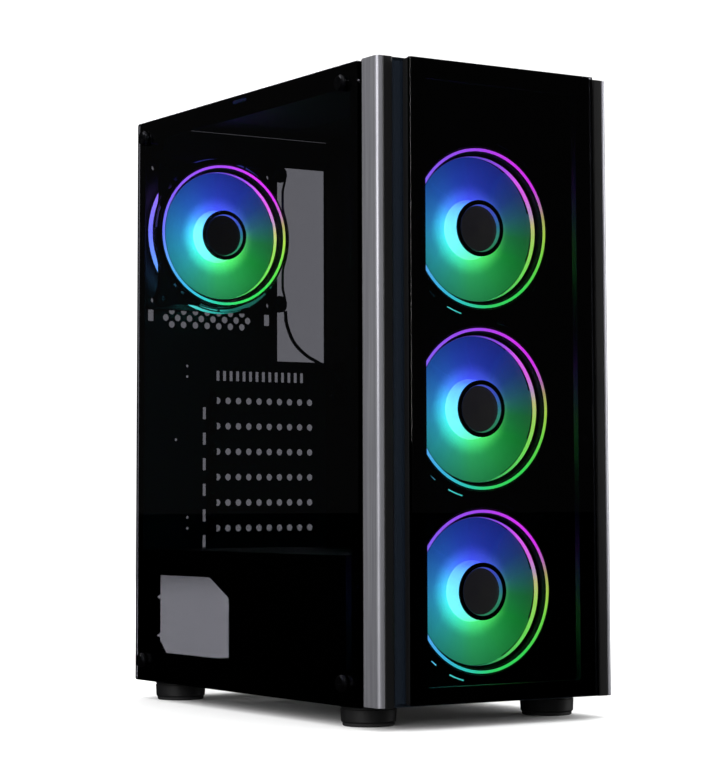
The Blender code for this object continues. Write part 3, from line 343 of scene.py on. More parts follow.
def turn_fraction(tree, place):
    """0 at the bottom, 0.25 at the left, 0.5 at the top, 0.75 at the right, for a place centred on a fan."""
    axes = node(tree, "ShaderNodeSeparateXYZ", {0: place})
    angle = node(tree, "ShaderNodeMath", {0: axes.outputs[0], 1: axes.outputs[2]},
                 operation="ARCTAN2").outputs[0]
    return node(tree, "ShaderNodeMath", {0: angle, 1: 1 / math.tau, 2: 0.5},
                operation="MULTIPLY_ADD").outputs[0]


def radius_of(tree, place):
    flat = node(tree, "ShaderNodeVectorMath", {0: place, 1: (1, 0, 1)}, operation="MULTIPLY").outputs[0]
    return node(tree, "ShaderNodeVectorMath", {0: flat}, operation="LENGTH").outputs["Value"]


def colour_wheel(tree, fraction, stops):
    """A colour ramp from clockwise degrees to screen colours, closed at the bottom."""
    made = node(tree, "ShaderNodeValToRGB", {0: fraction})
    ramp = made.color_ramp
    keys = sorted(((degrees / 360 + 0.5) % 1.0, linear(code)) for degrees, code in stops.items())
    while len(ramp.elements) < len(keys):
        ramp.elements.new(0.5)
    for element, (position, colour) in zip(ramp.elements, keys):
        element.position = position
        element.color = colour
    return made.outputs[0]


RING_STOPS = {0: "#b44cf4", 30: "#e436f4", 55: "#e434ec", 68: "#c070b8", 78: "#b4a868", 92: "#b4e04c",
              112: "#74e848", 140: "#3ce854", 170: "#38e264", 179.9: "#34e084", 180.1: "#34e084",
              195: "#34d8bc", 220: "#44c2ea", 245: "#60b0f8", 270: "#7080ff", 300: "#8c68fa", 330: "#a258f8"}
REAR_RING_STOPS = {0: "#2a2a70", 60: "#1c2860", 120: "#144830", 170: "#1c6858", 179.9: "#28a08c",
                   180.1: "#28a08c", 200: "#50dcc8", 225: "#6ed2fa", 245: "#6eaaff", 270: "#7a82ff",
                   300: "#a078fa", 315: "#2c2c80", 345: "#242468"}
DISC_STOPS = {0: "#2438a0", 30: "#203494", 55: "#20407e", 75: "#265c68", 95: "#1c743c", 120: "#188a34",
              150: "#269c48", 179.9: "#2ea45c", 180.1: "#2ea45c", 205: "#2c9e78", 230: "#2a9a98",
              255: "#288ea8", 280: "#287cb0", 310: "#245cac", 340: "#2444a8"}
HUB_STOPS = {0: "#4c60f0", 30: "#5060e0", 60: "#6878c8", 90: "#84d888", 120: "#6cec6c", 150: "#60f47c",
             179.9: "#64f8a0", 180.1: "#64f8a0", 210: "#70fcd4", 240: "#7cfcf4", 280: "#7cf0ff",
             310: "#70ccff", 335: "#5484ff"}
TIP_STOPS = {0: "#5a3ca8", 25: "#a04ce0", 45: "#f058f0", 62: "#f060e0", 74: "#c898c0", 84: "#d0c870",
             100: "#a8e04c",
             125: "#78e84c", 150: "#50c850", 170: "#1c6a3c", 179.9: "#0c3020", 180.1: "#0c3020",
             210: "#082028",
             270: "#0c1030", 330: "#301c70"}
# Grey for the black cap label: painted light, since the label is no lamp and only catches the hub's light.
PAINTED_LABEL_LIGHT_STOPS = {0: "#7c7a7c", 90: "#84827e", 179.9: "#7c7c78", 180.1: "#7c7c78", 270: "#747276"}
NEAR_STOPS = {0: "#4050e0", 30: "#4054d0", 60: "#4468c0", 90: "#50b468", 120: "#50dc5c", 150: "#4ce868",
              179.9: "#48ea80", 180.1: "#48ea80", 220: "#40ecbc", 250: "#44f0e4", 280: "#48d8ff",
              310: "#4890f8",
              335: "#4468f0"}
CUP_STOPS = {0: "#5868e0", 30: "#5864f0", 55: "#4c6ce0", 80: "#3c8cb0", 105: "#40b088", 140: "#38a868",
             179.9: "#38a870", 180.1: "#38a870", 220: "#205860", 270: "#203868", 320: "#3048a0"}


def light_guide(name, centre, stops, strength, resin="#b8c0d0"):
    """Milky polycarbonate that glows in the colours of its place round the fan."""
    made, tree, shader = finish_named(name)
    place = object_space(tree, centre)
    colour = colour_wheel(tree, turn_fraction(tree, place), stops)
    haze = grain(tree, object_space(tree), 3 * MM, 2.0)
    set_inputs(tree, shader, {"Base Color": linear(resin), "Roughness": 0.35, "Emission Color": colour,
                              "Emission Strength": times(tree, spread(tree, haze, 0.92, 1.08), strength)})
    return made


def frosted_blades(name, centre, strength):
    """Frosted polycarbonate blades: brightest at the hub, dimmer outward, with a soft radial streak."""
    made, tree, shader = finish_named(name)
    place = object_space(tree, centre)
    fraction = turn_fraction(tree, place)
    reach = radius_of(tree, place)
    disc = colour_wheel(tree, fraction, DISC_STOPS)
    hub = colour_wheel(tree, fraction, NEAR_STOPS)
    near = node(tree, "ShaderNodeMapRange", {"Value": reach, "From Min": 20 * MM, "From Max": 34 * MM,
                                             "To Min": 0.95, "To Max": 0.0}, interpolation_type="SMOOTHSTEP")
    fade = node(tree, "ShaderNodeMapRange", {"Value": reach, "From Min": 20 * MM, "From Max": 50 * MM,
                                             "To Min": 1.25, "To Max": 0.62}).outputs[0]
    around = node(tree, "ShaderNodeCombineXYZ", {0: fraction, 1: reach}).outputs[0]
    stretched = node(tree, "ShaderNodeVectorMath", {0: around, 1: (60.0, 40.0, 1.0)}, operation="MULTIPLY")
    streak = node(tree, "ShaderNodeTexNoise", {"Vector": stretched.outputs[0], "Scale": 1.0, "Detail": 2.0})
    level = times(tree, fade, spread(tree, streak.outputs["Fac"], 0.94, 1.06))
    set_inputs(tree, shader, {"Base Color": linear("#101418"), "Roughness": 0.5,
                              "Emission Color": blend_colours(tree, near.outputs[0], disc, hub),
                              "Emission Strength": times(tree, level, strength)})
    return made


print("light-guide functions ready")

# %% [markdown]
# ## Building blocks for shapes
# Small helpers start from a bmesh primitive, an edge chain that is spun, or a flat curve that is filled and
# thickened, which is how sheet metal with many holes is made. Each one gives a bmesh, and piece() joins
# several of them into one object.

# %% Shape helpers


def rounded_box(low, high, radius, segments=3):
    """A box with all its edges rounded."""
    work = bmesh.new()
    size = Vector(high) - Vector(low)
    shape = Matrix.Translation((Vector(low) + Vector(high)) / 2) @ Matrix.Diagonal((*size, 1.0))
    bmesh.ops.create_cube(work, size=1.0, matrix=shape)
    if radius:
        bmesh.ops.bevel(work, geom=list(work.edges), offset=radius, segments=segments, profile=0.5,
                        affect="EDGES", material=-1)
    return work


def millimetres(*pairs):
    """Pairs of millimetres as pairs of metres."""
    return [(first * MM, second * MM) for first, second in pairs]


AXES = {"X": Matrix.Rotation(math.pi / 2, 4, "Y"), "Y": Matrix.Rotation(-math.pi / 2, 4, "X"), "Z": Matrix()}


def lathe(profile, centre, axis="Y", steps=96):
    """Spins a profile of (radius, distance along the axis); a closed profile makes a ring."""
    work = bmesh.new()
    corners = [work.verts.new((radius, 0, along)) for radius, along in profile]
    chain = list(zip(corners, corners[1:]))
    if profile[0][0] > 0 or profile[-1][0] > 0:
        chain.append((corners[-1], corners[0]))
    for first, second in chain:
        work.edges.new((first, second))
    bmesh.ops.spin(work, geom=work.verts[:] + work.edges[:], cent=(0, 0, 0), axis=(0, 0, 1), angle=math.tau,
                   steps=steps, use_merge=True)
    bmesh.ops.remove_doubles(work, verts=work.verts, dist=0.000001)
    bmesh.ops.recalc_face_normals(work, faces=work.faces)
    bmesh.ops.transform(work, matrix=Matrix.Translation(centre) @ AXES[axis], verts=work.verts)
    return work


def circle(x, y, radius, count=24, start=0.0):
    return [(x + radius * math.cos(start + math.tau * i / count),
             y + radius * math.sin(start + math.tau * i / count))
            for i in range(count)]


def rounded(left, low, right, high, radius, count=4):
    """A rectangle's outline with round corners."""
    points = []
    for x, y, begin in ((right - radius, high - radius, 0), (left + radius, high - radius, 90),
                        (left + radius, low + radius, 180), (right - radius, low + radius, 270)):
        for i in range(count + 1):
            a = math.radians(begin + 90 * i / count)
            points.append((x + radius * math.cos(a), y + radius * math.sin(a)))
    return points


def corners_of(low, high, plane):
    """Left, low, right and high of a box, as seen on one plane."""
    across, up = {"front": (0, 2), "side": (1, 2), "flat": (0, 1)}[plane]
    return low[across], low[up], high[across], high[up]


PLANES = {
    "front": Matrix(((1, 0, 0), (0, 0, 1), (0, 1, 0))).to_4x4(),
    "side": Matrix(((0, 0, 1), (1, 0, 0), (0, 1, 0))).to_4x4(),
    "flat": Matrix.Identity(4),
}


def plate(outline, holes, plane, low, high, soften=0.15 * MM):
    """Sheet with holes: front takes (x, z), side (y, z) and flat (x, y); low to high is its depth."""
    curve = bpy.data.curves.new("plate", "CURVE")
    curve.dimensions = "2D"
    curve.fill_mode = "BOTH"
    curve.bevel_depth = soften
    curve.bevel_resolution = 1
    curve.offset = -soften
    curve.extrude = (high - low) / 2 - soften
    for loop in [outline] + list(holes):
        line = curve.splines.new("POLY")
        line.points.add(len(loop) - 1)
        for point, (x, y) in zip(line.points, loop):
            point.co = (x, y, 0, 1)
        line.use_cyclic_u = True
    guide = bpy.data.objects.new("plate", curve)
    bpy.context.scene.collection.objects.link(guide)
    solid = bpy.data.meshes.new_from_object(guide.evaluated_get(bpy.context.evaluated_depsgraph_get()))
    bpy.data.objects.remove(guide)
    work = bmesh.new()
    work.from_mesh(solid)
    bpy.data.meshes.remove(solid)
    bmesh.ops.remove_doubles(work, verts=work.verts, dist=0.000002)
    depth = {"front": (0, (low + high) / 2, 0), "side": ((low + high) / 2, 0, 0),
             "flat": (0, 0, (low + high) / 2)}
    bmesh.ops.transform(work, matrix=Matrix.Translation(depth[plane]) @ PLANES[plane], verts=work.verts)
    bmesh.ops.recalc_face_normals(work, faces=work.faces)
    return work


def piece(name, finish, *works, angle=20):
    """Joins the given shapes into one object with one finish."""
    joined = bmesh.new()
    for work in works:
        part = bpy.data.meshes.new("part")
        work.to_mesh(part)
        work.free()
        joined.from_mesh(part)
        bpy.data.meshes.remove(part)
    mesh = bpy.data.meshes.new(name)
    joined.to_mesh(mesh)
    joined.free()
    mesh.materials.append(finish)
    mesh.shade_smooth()
    mesh.set_sharp_from_angle(angle=math.radians(angle))
    made = bpy.data.objects.new(name, mesh)
    bpy.context.scene.collection.objects.link(made)
    return made


def stands_for(made, body, slot, *nodes):
    """Rides on a CAD body and hides the CAD nodes that it replaces. The slot argument is not used."""
    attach(made, body)
    if nodes:
        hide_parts(*nodes)
    return made


print("shape helpers ready")

# %% [markdown]
# ## Fans
# A 120 mm fan has a square frame with four screw lobes, a round duct, a light ring that stands in front of
# the flange and a second one behind it. Slots through the flange let the rear ring wink through. The
# outline of the flange is the largest reach of a square, a circle and four lobes at each angle, so it is
# worked out as a formula and filled as a flat curve.

# %% Fan frame outline
LOBE_ACROSS = 52.5 * MM
LOBE_RADIUS = 7.8 * MM
FLANGE_HALF = 56.3 * MM
HOUSING_RADIUS = 61.2 * MM


def flange_reach(angle, slim=0.0):
    """How far the flange reaches from the fan's middle in one direction."""
    c, s = abs(math.cos(angle)), abs(math.sin(angle))
    half = FLANGE_HALF - slim
    reach = max(HOUSING_RADIUS - slim, min(half / max(c, 1e-9), half / max(s, 1e-9)))
    along = LOBE_ACROSS * (c + s)
    off = LOBE_ACROSS * abs(c - s)
    if off < LOBE_RADIUS:
        reach = max(min(reach, along), along + math.sqrt(LOBE_RADIUS ** 2 - off ** 2))
    return reach


def flange_outline(middle, slim, count=240):
    """Points all round the flange, eased a little so that the dips beside the lobes are round."""
    reaches = [flange_reach(math.tau * i / count, slim) for i in range(count)]
    eased = [sum(reaches[(i + k) % count] for k in (-2, -1, 0, 1, 2)) / 5 for i in range(count)]
    return [(middle.x + r * math.cos(math.tau * i / count), middle.z + r * math.sin(math.tau * i / count))
            for i, r in enumerate(eased)]


def arc_slot(middle, inner, outer, start, end, count=8):
    """A curved slot between two radii and two angles in degrees."""
    angles = [math.radians(start + (end - start) * i / count) for i in range(count + 1)]
    outside = [(middle.x + outer * math.cos(a), middle.z + outer * math.sin(a)) for a in angles]
    inside = [(middle.x + inner * math.cos(a), middle.z + inner * math.sin(a)) for a in reversed(angles)]
    return outside + inside


print("flange reaches", round(flange_reach(math.pi / 4) / MM, 1), "mm at a corner")

# %% [markdown]
# The frame is the flange plate, a thicker round housing, a duct tube, a rear flange and a motor mount with
# four swept struts. The slots are short beside each lobe and longer below it.

# %% Fan frame
STRUT_LONG, STRUT_TURN, STRUT_SWEEP = 36.0 * MM, 20, 24
OPEN_SLOTS = [(start, end, 58.6 * MM, 60.6 * MM) for start, end in ((43, 46.5), (51, 54.5), (70, 87))]
CLAMPED_SLOTS = [(45.5, 54.5, 58.4 * MM, 63.4 * MM)]


def screw_holes(middle, radius, count):
    """The four screw holes round a fan."""
    return [circle(middle.x + sx * LOBE_ACROSS, middle.z + sz * LOBE_ACROSS, radius, count)
            for sx in (-1, 1) for sz in (-1, 1)]


def fan_frame(name, middle, ring_plane):
    """A clamped fan sits behind the front plate: its flange is slimmer and its slots are wider."""
    clamped = name.startswith("front")
    back = ring_plane + 25 * MM
    screws = screw_holes(middle, 2.2 * MM, 20)
    slots = []
    for quarter in range(4):
        for start, end, inner, outer in CLAMPED_SLOTS if clamped else OPEN_SLOTS:
            slots.append(arc_slot(middle, inner, outer, 90 * quarter + start, 90 * quarter + end))
    duct = circle(middle.x, middle.z, 57.0 * MM, 120)
    flange = plate(flange_outline(middle, 2.0 * MM if clamped else 0.0), [duct] + screws + slots, "front",
                   ring_plane + 3.5 * MM, ring_plane + (5.5 if clamped else 7.0) * MM, 0.4 * MM)
    rear_edge = rounded(middle.x - 59.8 * MM, middle.z - 59.8 * MM, middle.x + 59.8 * MM,
                        middle.z + 59.8 * MM,
                        7 * MM, 6)
    rear = plate(rear_edge, [circle(middle.x, middle.z, 55.0 * MM, 96)] + screws, "front", back - 4.0 * MM,
                 back,
                 0.4 * MM)
    tube = lathe(millimetres((52.9, 25.0), (52.9, 1.0), (53.3, 0.5), (56.7, 0.5), (57.0, 0.2), (57.5, 0.5),
                             (57.5, 25.0)), (middle.x, ring_plane, middle.z), "Y", 144)
    pads = [lathe(millimetres((2.6, 3.0), (6.2, 3.0), (6.6, 3.4), (6.6, 3.7), (2.6, 3.7)),
                  (middle.x + sx * LOBE_ACROSS, ring_plane, middle.z + sz * LOBE_ACROSS), "Y", 32)
            for sx in (-1, 1) for sz in (-1, 1)]
    mount = lathe(millimetres((0, 22.0), (18.5, 22.0), (19.5, 23.0), (19.5, 24.6), (0, 24.6)),
                  (middle.x, ring_plane, middle.z), "Y", 64)
    struts = []
    for quarter in range(4):
        strut = bmesh.new()
        bmesh.ops.create_cube(strut, size=1.0, matrix=Matrix.Diagonal((STRUT_LONG, 2.6 * MM, 3.0 * MM, 1.0)))
        bmesh.ops.bevel(strut, geom=list(strut.edges), offset=0.6 * MM, segments=2, profile=0.5,
                        affect="EDGES",
                        material=-1)
        turn = Matrix.Rotation(math.radians(90 * quarter + STRUT_TURN), 4, "Y")
        skew = Matrix.Rotation(math.radians(STRUT_SWEEP), 4, "Y")
        place = Matrix.Translation((middle.x, back - 1.7 * MM, middle.z)) @ turn
        bmesh.ops.transform(strut, matrix=place @ Matrix.Translation((STRUT_LONG, 0, 0)) @ skew,
                            verts=strut.verts)
        struts.append(strut)
    return piece(f"{name}_frame_moulding", ABS_FAN, flange, rear, tube, mount, *pads, *struts)


print("frame function ready")

# %% [markdown]
# The light rings are spun from a small section with rounded edges, so that they catch a soft line of
# light. The rotor is a hub that flares towards its base, nine swept blades that overlap like a shutter,
# and a thin tip ring. Each blade starts as a grid that is bent into place, then gets its thickness.

# %% Rings and rotor
BLADE_COUNT = 9
BLADE_ROOT, BLADE_TIP, BLADE_TURN = 22.0, 50.6, -56


def soft_ring(inner, outer, front, back, centre, ease):
    """A ring whose front edges are eased."""
    profile = [(inner, back), (inner, front + ease), (inner + ease * 0.3, front + ease * 0.3),
               (inner + ease, front),
               (outer - ease, front), (outer - ease * 0.3, front + ease * 0.3), (outer, front + ease),
               (outer, back)]
    return lathe(profile, centre, "Y", 160)


def fan_blades(middle, ring_plane):
    blades = bmesh.new()
    for blade in range(BLADE_COUNT):
        grid = bmesh.ops.create_grid(blades, x_segments=12, y_segments=16, size=0.5)
        for vertex in grid["verts"]:
            out, turn = vertex.co.x + 0.5, vertex.co.y + 0.5
            radius = (BLADE_ROOT + out * (BLADE_TIP - BLADE_ROOT)) * MM
            bow = math.sin(math.pi * out) * 7.0
            angle = math.tau * blade / BLADE_COUNT + math.radians(BLADE_TURN * turn + 16 * out + bow)
            pitch = 2.6 * math.sin(math.pi * min(1.0, out * 1.2) / 2)
            depth = (14.5 - 4.6 * out + turn * pitch + 0.5 * math.sin(math.pi * turn)) * MM
            vertex.co = (middle.x + radius * math.cos(angle), ring_plane + depth,
                         middle.z + radius * math.sin(angle))
    bmesh.ops.recalc_face_normals(blades, faces=blades.faces)
    bmesh.ops.solidify(blades, geom=list(blades.faces), thickness=0.8 * MM)
    return blades


def fan(name, body_of_wheel, strength, painted_label_light):
    """All the pieces of one fan, placed from its CAD frame and ring."""
    ring_low, ring_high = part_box(f"{name}_front_ring")
    middle = (ring_low + ring_high) / 2
    ring_plane = ring_low.y
    centre = (middle.x, ring_plane, middle.z)

    def lit(part, stops, level):
        return light_guide(f"{name}_lit_{part}", centre, stops, level * strength)

    def turned(*pairs, steps=96):
        return lathe(millimetres(*pairs), centre, "Y", steps)

    stands_for(fan_frame(name, middle, ring_plane), "case", "fan_plastic", f"{name}_frame")
    front = turned((53.75, 0.5), (53.8, 0.1), (53.9, 0.0), (55.6, 0.0), (55.7, 0.1), (55.75, 0.5), steps=160)
    stands_for(piece(f"{name}_front_light", lit("front", RING_STOPS, 0.9), front), "case", "lit_front_ring",
               f"{name}_front_ring")
    rear = soft_ring(58.8 * MM, 62.0 * MM, 9.3 * MM, 12.2 * MM, centre, 0.7 * MM)
    stands_for(piece(f"{name}_rear_light", lit("rear", REAR_RING_STOPS, 0.9), rear), "case", "lit_rear_ring",
               f"{name}_rear_ring")
    hub = turned((0, 5.0), (19.0, 5.0), (19.4, 1.0), (19.65, 1.0), (20.0, 8.0), (21.2, 15.6), (21.2, 19.6),
                 (20.6, 20.0), (0, 20.0))
    stands_for(piece(f"{name}_hub", lit("hub", HUB_STOPS, 1.05), hub), body_of_wheel, "rotor_plastic")
    skirt = turned((21.0, 15.2), (21.0, 14.5), (23.5, 14.0), (27.0, 13.4), (27.0, 14.0), (23.5, 14.8))
    blades = piece(f"{name}_blades", frosted_blades(f"{name}_lit_blades", centre, strength),
                   fan_blades(middle, ring_plane), skirt)
    stands_for(blades, body_of_wheel, "rotor_plastic", f"{name}_rotor")
    rim = turned((50.9, 6.1), (51.7, 6.0), (51.8, 6.2), (51.8, 10.2), (50.9, 10.2), steps=144)
    stands_for(piece(f"{name}_tip_ring", ABS_FAN, rim), body_of_wheel, "rotor_plastic")
    liner = turned((50.55, 10.1), (50.55, 6.3), (50.65, 6.1), (50.85, 6.1), (50.85, 10.1), steps=144)
    stands_for(piece(f"{name}_tip_light", lit("tip", TIP_STOPS, 0.85), liner), body_of_wheel, "rotor_plastic")
    cap = turned((0, 3.8), (0, 4.6), (19.2, 4.6), (19.6, 4.2), (19.7, 0.7), (19.5, 0.35), (16.8, 0.35),
                 (16.6, 0.6), (16.2, 3.9))
    stands_for(piece(f"{name}_cap", ABS_FAN, cap), body_of_wheel, "fan_plastic", f"{name}_hub_cap")
    label = turned((0, 3.4), (15.6, 3.4), (15.8, 3.5), (15.8, 3.75), (0, 3.75))
    # The cap's black label glows faintly grey: painted light standing in for the hub's LED light falling on
    # it.
    painted_light_label_finish = light_guide(f"{name}_painted_light_disc", centre, PAINTED_LABEL_LIGHT_STOPS, painted_label_light, "#141414")
    stands_for(piece(f"{name}_cap_disc", painted_light_label_finish, label), body_of_wheel, "fan_plastic")
    cup = turned((15.9, 3.7), (16.4, 0.75), (16.55, 0.75), (16.1, 3.7))
    stands_for(piece(f"{name}_cup_light", lit("cup", CUP_STOPS, 0.55), cup), body_of_wheel, "rotor_plastic")


FAN_STRENGTH = 9.0
# The last number sets the painted light on each cap's black label, which glows grey though it is no lamp.
for fan_name, level, painted_label_light in (("front_fan_top", 1.0, 0.5), ("front_fan_middle", 1.0, 0.5),
                                    ("front_fan_bottom", 1.0, 0.5), ("rear_fan", 1.3, 0.15)):
    fan(fan_name, f"{fan_name}_wheel", FAN_STRENGTH * level, painted_label_light)
print("built four fans")

# %% [markdown]
# ## Panes
# Both panes are ground at their edges. The side glass has four drilled holes with a small chamfer. Only their
# narrow edges are rounded; shading stays flat across the faces, or a pane would bend light like a lens.

# %% Side and front glass
SCREW_NAMES = ("rear_top", "front_top", "rear_bottom", "front_bottom")
PANE_ANGLE = 5


def middle_of(cad_name):
    low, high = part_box(cad_name)
    return (low + high) / 2


side_edge = rounded(*corners_of(GLASS_LOW, GLASS_HIGH, "side"), 2.0 * MM, 4)
spots = [middle_of(f"glass_screw_{name}") for name in SCREW_NAMES]
drilled = [circle(spot.y, spot.z, 2.6 * MM, 24) for spot in spots]
side_pane = piece("side_glass_pane", SIDE_TINT,
                  plate(side_edge, drilled, "side", GLASS_LOW.x, GLASS_HIGH.x, 0.5 * MM), angle=PANE_ANGLE)
stands_for(side_pane, "side_glass", "smoked_glass", "side_glass")
front_pane = piece("front_glass_pane", FRONT_TINT, rounded_box(PANE_LOW, PANE_HIGH, 0.25 * MM, 3),
                   angle=PANE_ANGLE)
stands_for(front_pane, "front_cover", "smoked_glass", "front_glass")
print("side pane", [round(v / MM, 1) for v in GLASS_HIGH - GLASS_LOW], "mm")

# %% [markdown]
# ## Front cover
# The two trims are thin sections wrapped round the bezel's front corners, so each is an outline in plan
# pushed up its full height. The posts are pushed up in the same way, with a rounded inner edge, and a
# shallow channel runs between post and glass. A face plate, a lid and a foot close the moulding.

# %% Trims
TRIM_LOW, TRIM_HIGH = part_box("side_trim_left")
POSTS = TRIM_LOW.y
TRIM_RADIUS, TRIM_WALL = 4.0 * MM, 1.2 * MM
TRIM_END = TRIM_RADIUS + 0.6 * MM
TRIM_DEEP = TRIM_HIGH.y - TRIM_LOW.y
SIDES = (("left", -1, LEFT), ("right", 1, RIGHT))


def bend(x, y, radius, start, end, count=10):
    """Points of an arc in degrees, both ends included."""
    turns = [math.radians(start + (end - start) * i / count) for i in range(count + 1)]
    return [(x + radius * math.cos(a), y + radius * math.sin(a)) for a in turns]


def from_face(points, side, face):
    """Turns (inward, deep) from a side face and the posts' plane into x and y."""
    return [(face - side * inward, POSTS + deep) for inward, deep in points]


for name, side, face in SIDES:
    section = [(0, TRIM_DEEP)] + bend(TRIM_RADIUS, TRIM_RADIUS, TRIM_RADIUS, 180, 270)
    section += [(TRIM_END, 0), (TRIM_END, TRIM_WALL)]
    section += bend(TRIM_RADIUS, TRIM_RADIUS, TRIM_RADIUS - TRIM_WALL, 270, 180) + [(TRIM_WALL, TRIM_DEEP)]
    shape = plate(from_face(section, side, face), [], "flat", TRIM_LOW.z, TRIM_HIGH.z, 0.1 * MM)
    stands_for(piece(f"{name}_trim_section", ALUMINIUM, shape), "front_cover", "brushed_trim",
               f"side_trim_{name}")
print("trim wraps", round(TRIM_DEEP / MM, 1), "mm deep")

# %% Bezel
POST_WIDE = 13.0 * MM
CHANNEL_DEEP = 1.6 * MM
WALL = 2.8 * MM
BEZEL_DEEP = BEZEL_HIGH.y - POSTS
INNER = RIGHT - POST_WIDE - CENTRE
WINDOW_HALF, WINDOW_EDGE = 70 * MM, 12 * MM
bezel_shapes = []
for name, side, face in SIDES:
    section = [(1.5 * MM, BEZEL_DEEP), (1.5 * MM, 3.6 * MM), (5.0 * MM, 3.6 * MM), (5.0 * MM, 0.3 * MM),
               (5.3 * MM, 0)]
    section += bend(POST_WIDE - 1.8 * MM, 1.8 * MM, 1.8 * MM, 270, 360, 8) + [(POST_WIDE, BEZEL_DEEP)]
    bezel_shapes.append(plate(from_face(section, side, face), [], "flat", BEZEL_LOW.z, TOP, 0.2 * MM))
face_edge = [(CENTRE - INNER, BEZEL_LOW.z), (CENTRE + INNER, BEZEL_LOW.z), (CENTRE + INNER, TOP),
             (CENTRE - INNER, TOP)]
window = rounded(CENTRE - WINDOW_HALF, BASE + WINDOW_EDGE, CENTRE + WINDOW_HALF, TOP - WINDOW_EDGE, 3 * MM)
bezel_posts = piece("bezel_posts", ABS_BEZEL, *bezel_shapes)
stands_for(bezel_posts, "front_cover", "bezel_plastic", "front_bezel")
bezel_shapes = [plate(face_edge, [window], "front", POSTS + CHANNEL_DEEP, POSTS + WALL, 0.1 * MM)]
for low, high in ((BEZEL_LOW.z, BEZEL_LOW.z + WALL), (TOP - WALL, TOP)):
    bezel_shapes.append(rounded_box((CENTRE - INNER, POSTS + CHANNEL_DEEP, low),
                                    (CENTRE + INNER, BEZEL_HIGH.y, high), 0.5 * MM, 2))
stands_for(piece("bezel_face", ABS_CHANNEL, *bezel_shapes), "front_cover", "bezel_plastic")
CARRIER_LOW, CARRIER_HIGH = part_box("front_carrier")
carrier_edge = rounded(*corners_of(CARRIER_LOW, CARRIER_HIGH, "front"), 1.5 * MM)
opening = rounded(CENTRE - 63.5 * MM, BASE + 14 * MM, CENTRE + 63.5 * MM, TOP - 14 * MM, 2 * MM)
carrier = piece("glass_carrier", ABS_BEZEL,
                plate(carrier_edge, [opening], "front", CARRIER_LOW.y, CARRIER_HIGH.y, 0.4 * MM))
stands_for(carrier, "front_cover", "bezel_plastic", "front_carrier")
print("front cover built from", len(bezel_shapes) + 3, "shapes")

# %% [markdown]
# ## Screws, posts and feet
# A thumb screw is turned, knurled round its rim so that fingers grip it, and has a cross recess. The knurl is
# every other corner pushed in a little. The cross is a hole in a thin top plate over a blind floor.

# %% Thumb screws and posts
ORIGIN = (0, 0, 0)


def knurled(low, high, radius, count=40):
    """A knurled drum along +Z with bevelled rims."""
    work = bmesh.new()
    shape = Matrix.Translation((0, 0, (low + high) / 2))
    bmesh.ops.create_cone(work, cap_ends=True, segments=2 * count, radius1=radius, radius2=radius,
                          depth=high - low,
                          matrix=shape)
    for vertex in work.verts:
        turn = math.atan2(vertex.co.y, vertex.co.x) / math.tau * 2 * count
        if round(turn) % 2:
            vertex.co.xy *= 0.965
    rims = [e for e in work.edges if abs(e.verts[0].co.z - e.verts[1].co.z) < 1e-6]
    bmesh.ops.bevel(work, geom=rims, offset=0.25 * MM, segments=2, profile=0.5, affect="EDGES", material=-1)
    return work


def cross(half_long, half_wide):
    a, b = half_long, half_wide
    return [(a, b), (b, b), (b, a), (-b, a), (-b, b), (-a, b), (-a, -b), (-b, -b), (-b, -a), (b, -a), (b, -b),
            (a, -b)]


def thumb_screw(height, radius, shank):
    """Along +Z: the head from 0 to height, the shank below; the recess opens upwards."""
    drum = knurled(0.6 * MM, height - 1.4 * MM, radius)
    washer = lathe(millimetres((0, 0), (4.2, 0), (4.3, 0.1), (4.3, 0.7), (0, 0.7)), ORIGIN, "Z", 40)
    crown = plate(circle(0, 0, radius - 0.7 * MM, 48), [cross(2.6 * MM, 0.6 * MM)], "flat", height - 1.5 * MM,
                  height, 0.25 * MM)
    pin = lathe([(0, -shank), (1.7 * MM, -shank), (2.0 * MM, -shank + 0.4 * MM), (2.0 * MM, 0.1 * MM),
                 (0, 0.1 * MM)],
                ORIGIN, "Z", 32)
    return [drum, washer, crown, pin]


def seated(works, place, degrees, axis="Y"):
    """Turns shapes that were built along +Z at the origin, then moves them to their place."""
    matrix = Matrix.Translation(place) @ Matrix.Rotation(math.radians(degrees), 4, axis)
    for work in works:
        bmesh.ops.transform(work, matrix=matrix, verts=work.verts)
    return works


for name, spot in zip(SCREW_NAMES, spots):
    low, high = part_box(f"glass_screw_{name}")
    seat = LEFT - 0.3 * MM
    screw = seated(thumb_screw(seat - low.x, 5.6 * MM, high.x - LEFT), (seat, spot.y, spot.z), -90)
    stands_for(piece(f"glass_thumb_screw_{name}", BLACK_NICKEL, *screw), f"glass_screw_{name}", "black_screw",
               f"glass_screw_{name}")
    low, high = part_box(f"glass_post_{name}")
    barrel = lathe(millimetres((2.3, 0), (4.3, 0), (4.6, 0.3), (4.6, 8.8), (4.9, 9.3), (2.3, 9.3)), ORIGIN,
                   "Z", 48)
    base = rounded_box((high.x - 1.5 * MM, low.y, low.z), high, 0.4 * MM, 2)
    stands_for(piece(f"post_{name}", BLACK_NICKEL, *seated([barrel], (low.x, spot.y, spot.z), 90), base),
               "case",
               "post_rubber", f"glass_post_{name}")
    grip = lathe(millimetres((2.4, 0), (4.5, 0), (4.5, 0.2), (2.4, 0.2)), ORIGIN, "Z", 40)
    seated([grip], (GLASS_HIGH.x + 0.05 * MM, spot.y, spot.z), 90)
    stands_for(piece(f"post_washer_{name}", RUBBER, grip), "case", "post_rubber")
for name in ("lower", "upper"):
    low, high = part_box(f"panel_screw_{name}")
    spot = middle_of(f"panel_screw_{name}")
    bottom = REAR + 1.8 * MM
    screw = thumb_screw(high.y - bottom, 5.4 * MM, bottom - low.y)
    seated(screw, (spot.x, bottom, spot.z), -90, "X")
    stands_for(piece(f"panel_thumb_screw_{name}", BLACK_NICKEL, *screw), f"panel_screw_{name}", "black_screw",
               f"panel_screw_{name}")
print("six thumb screws and four posts")

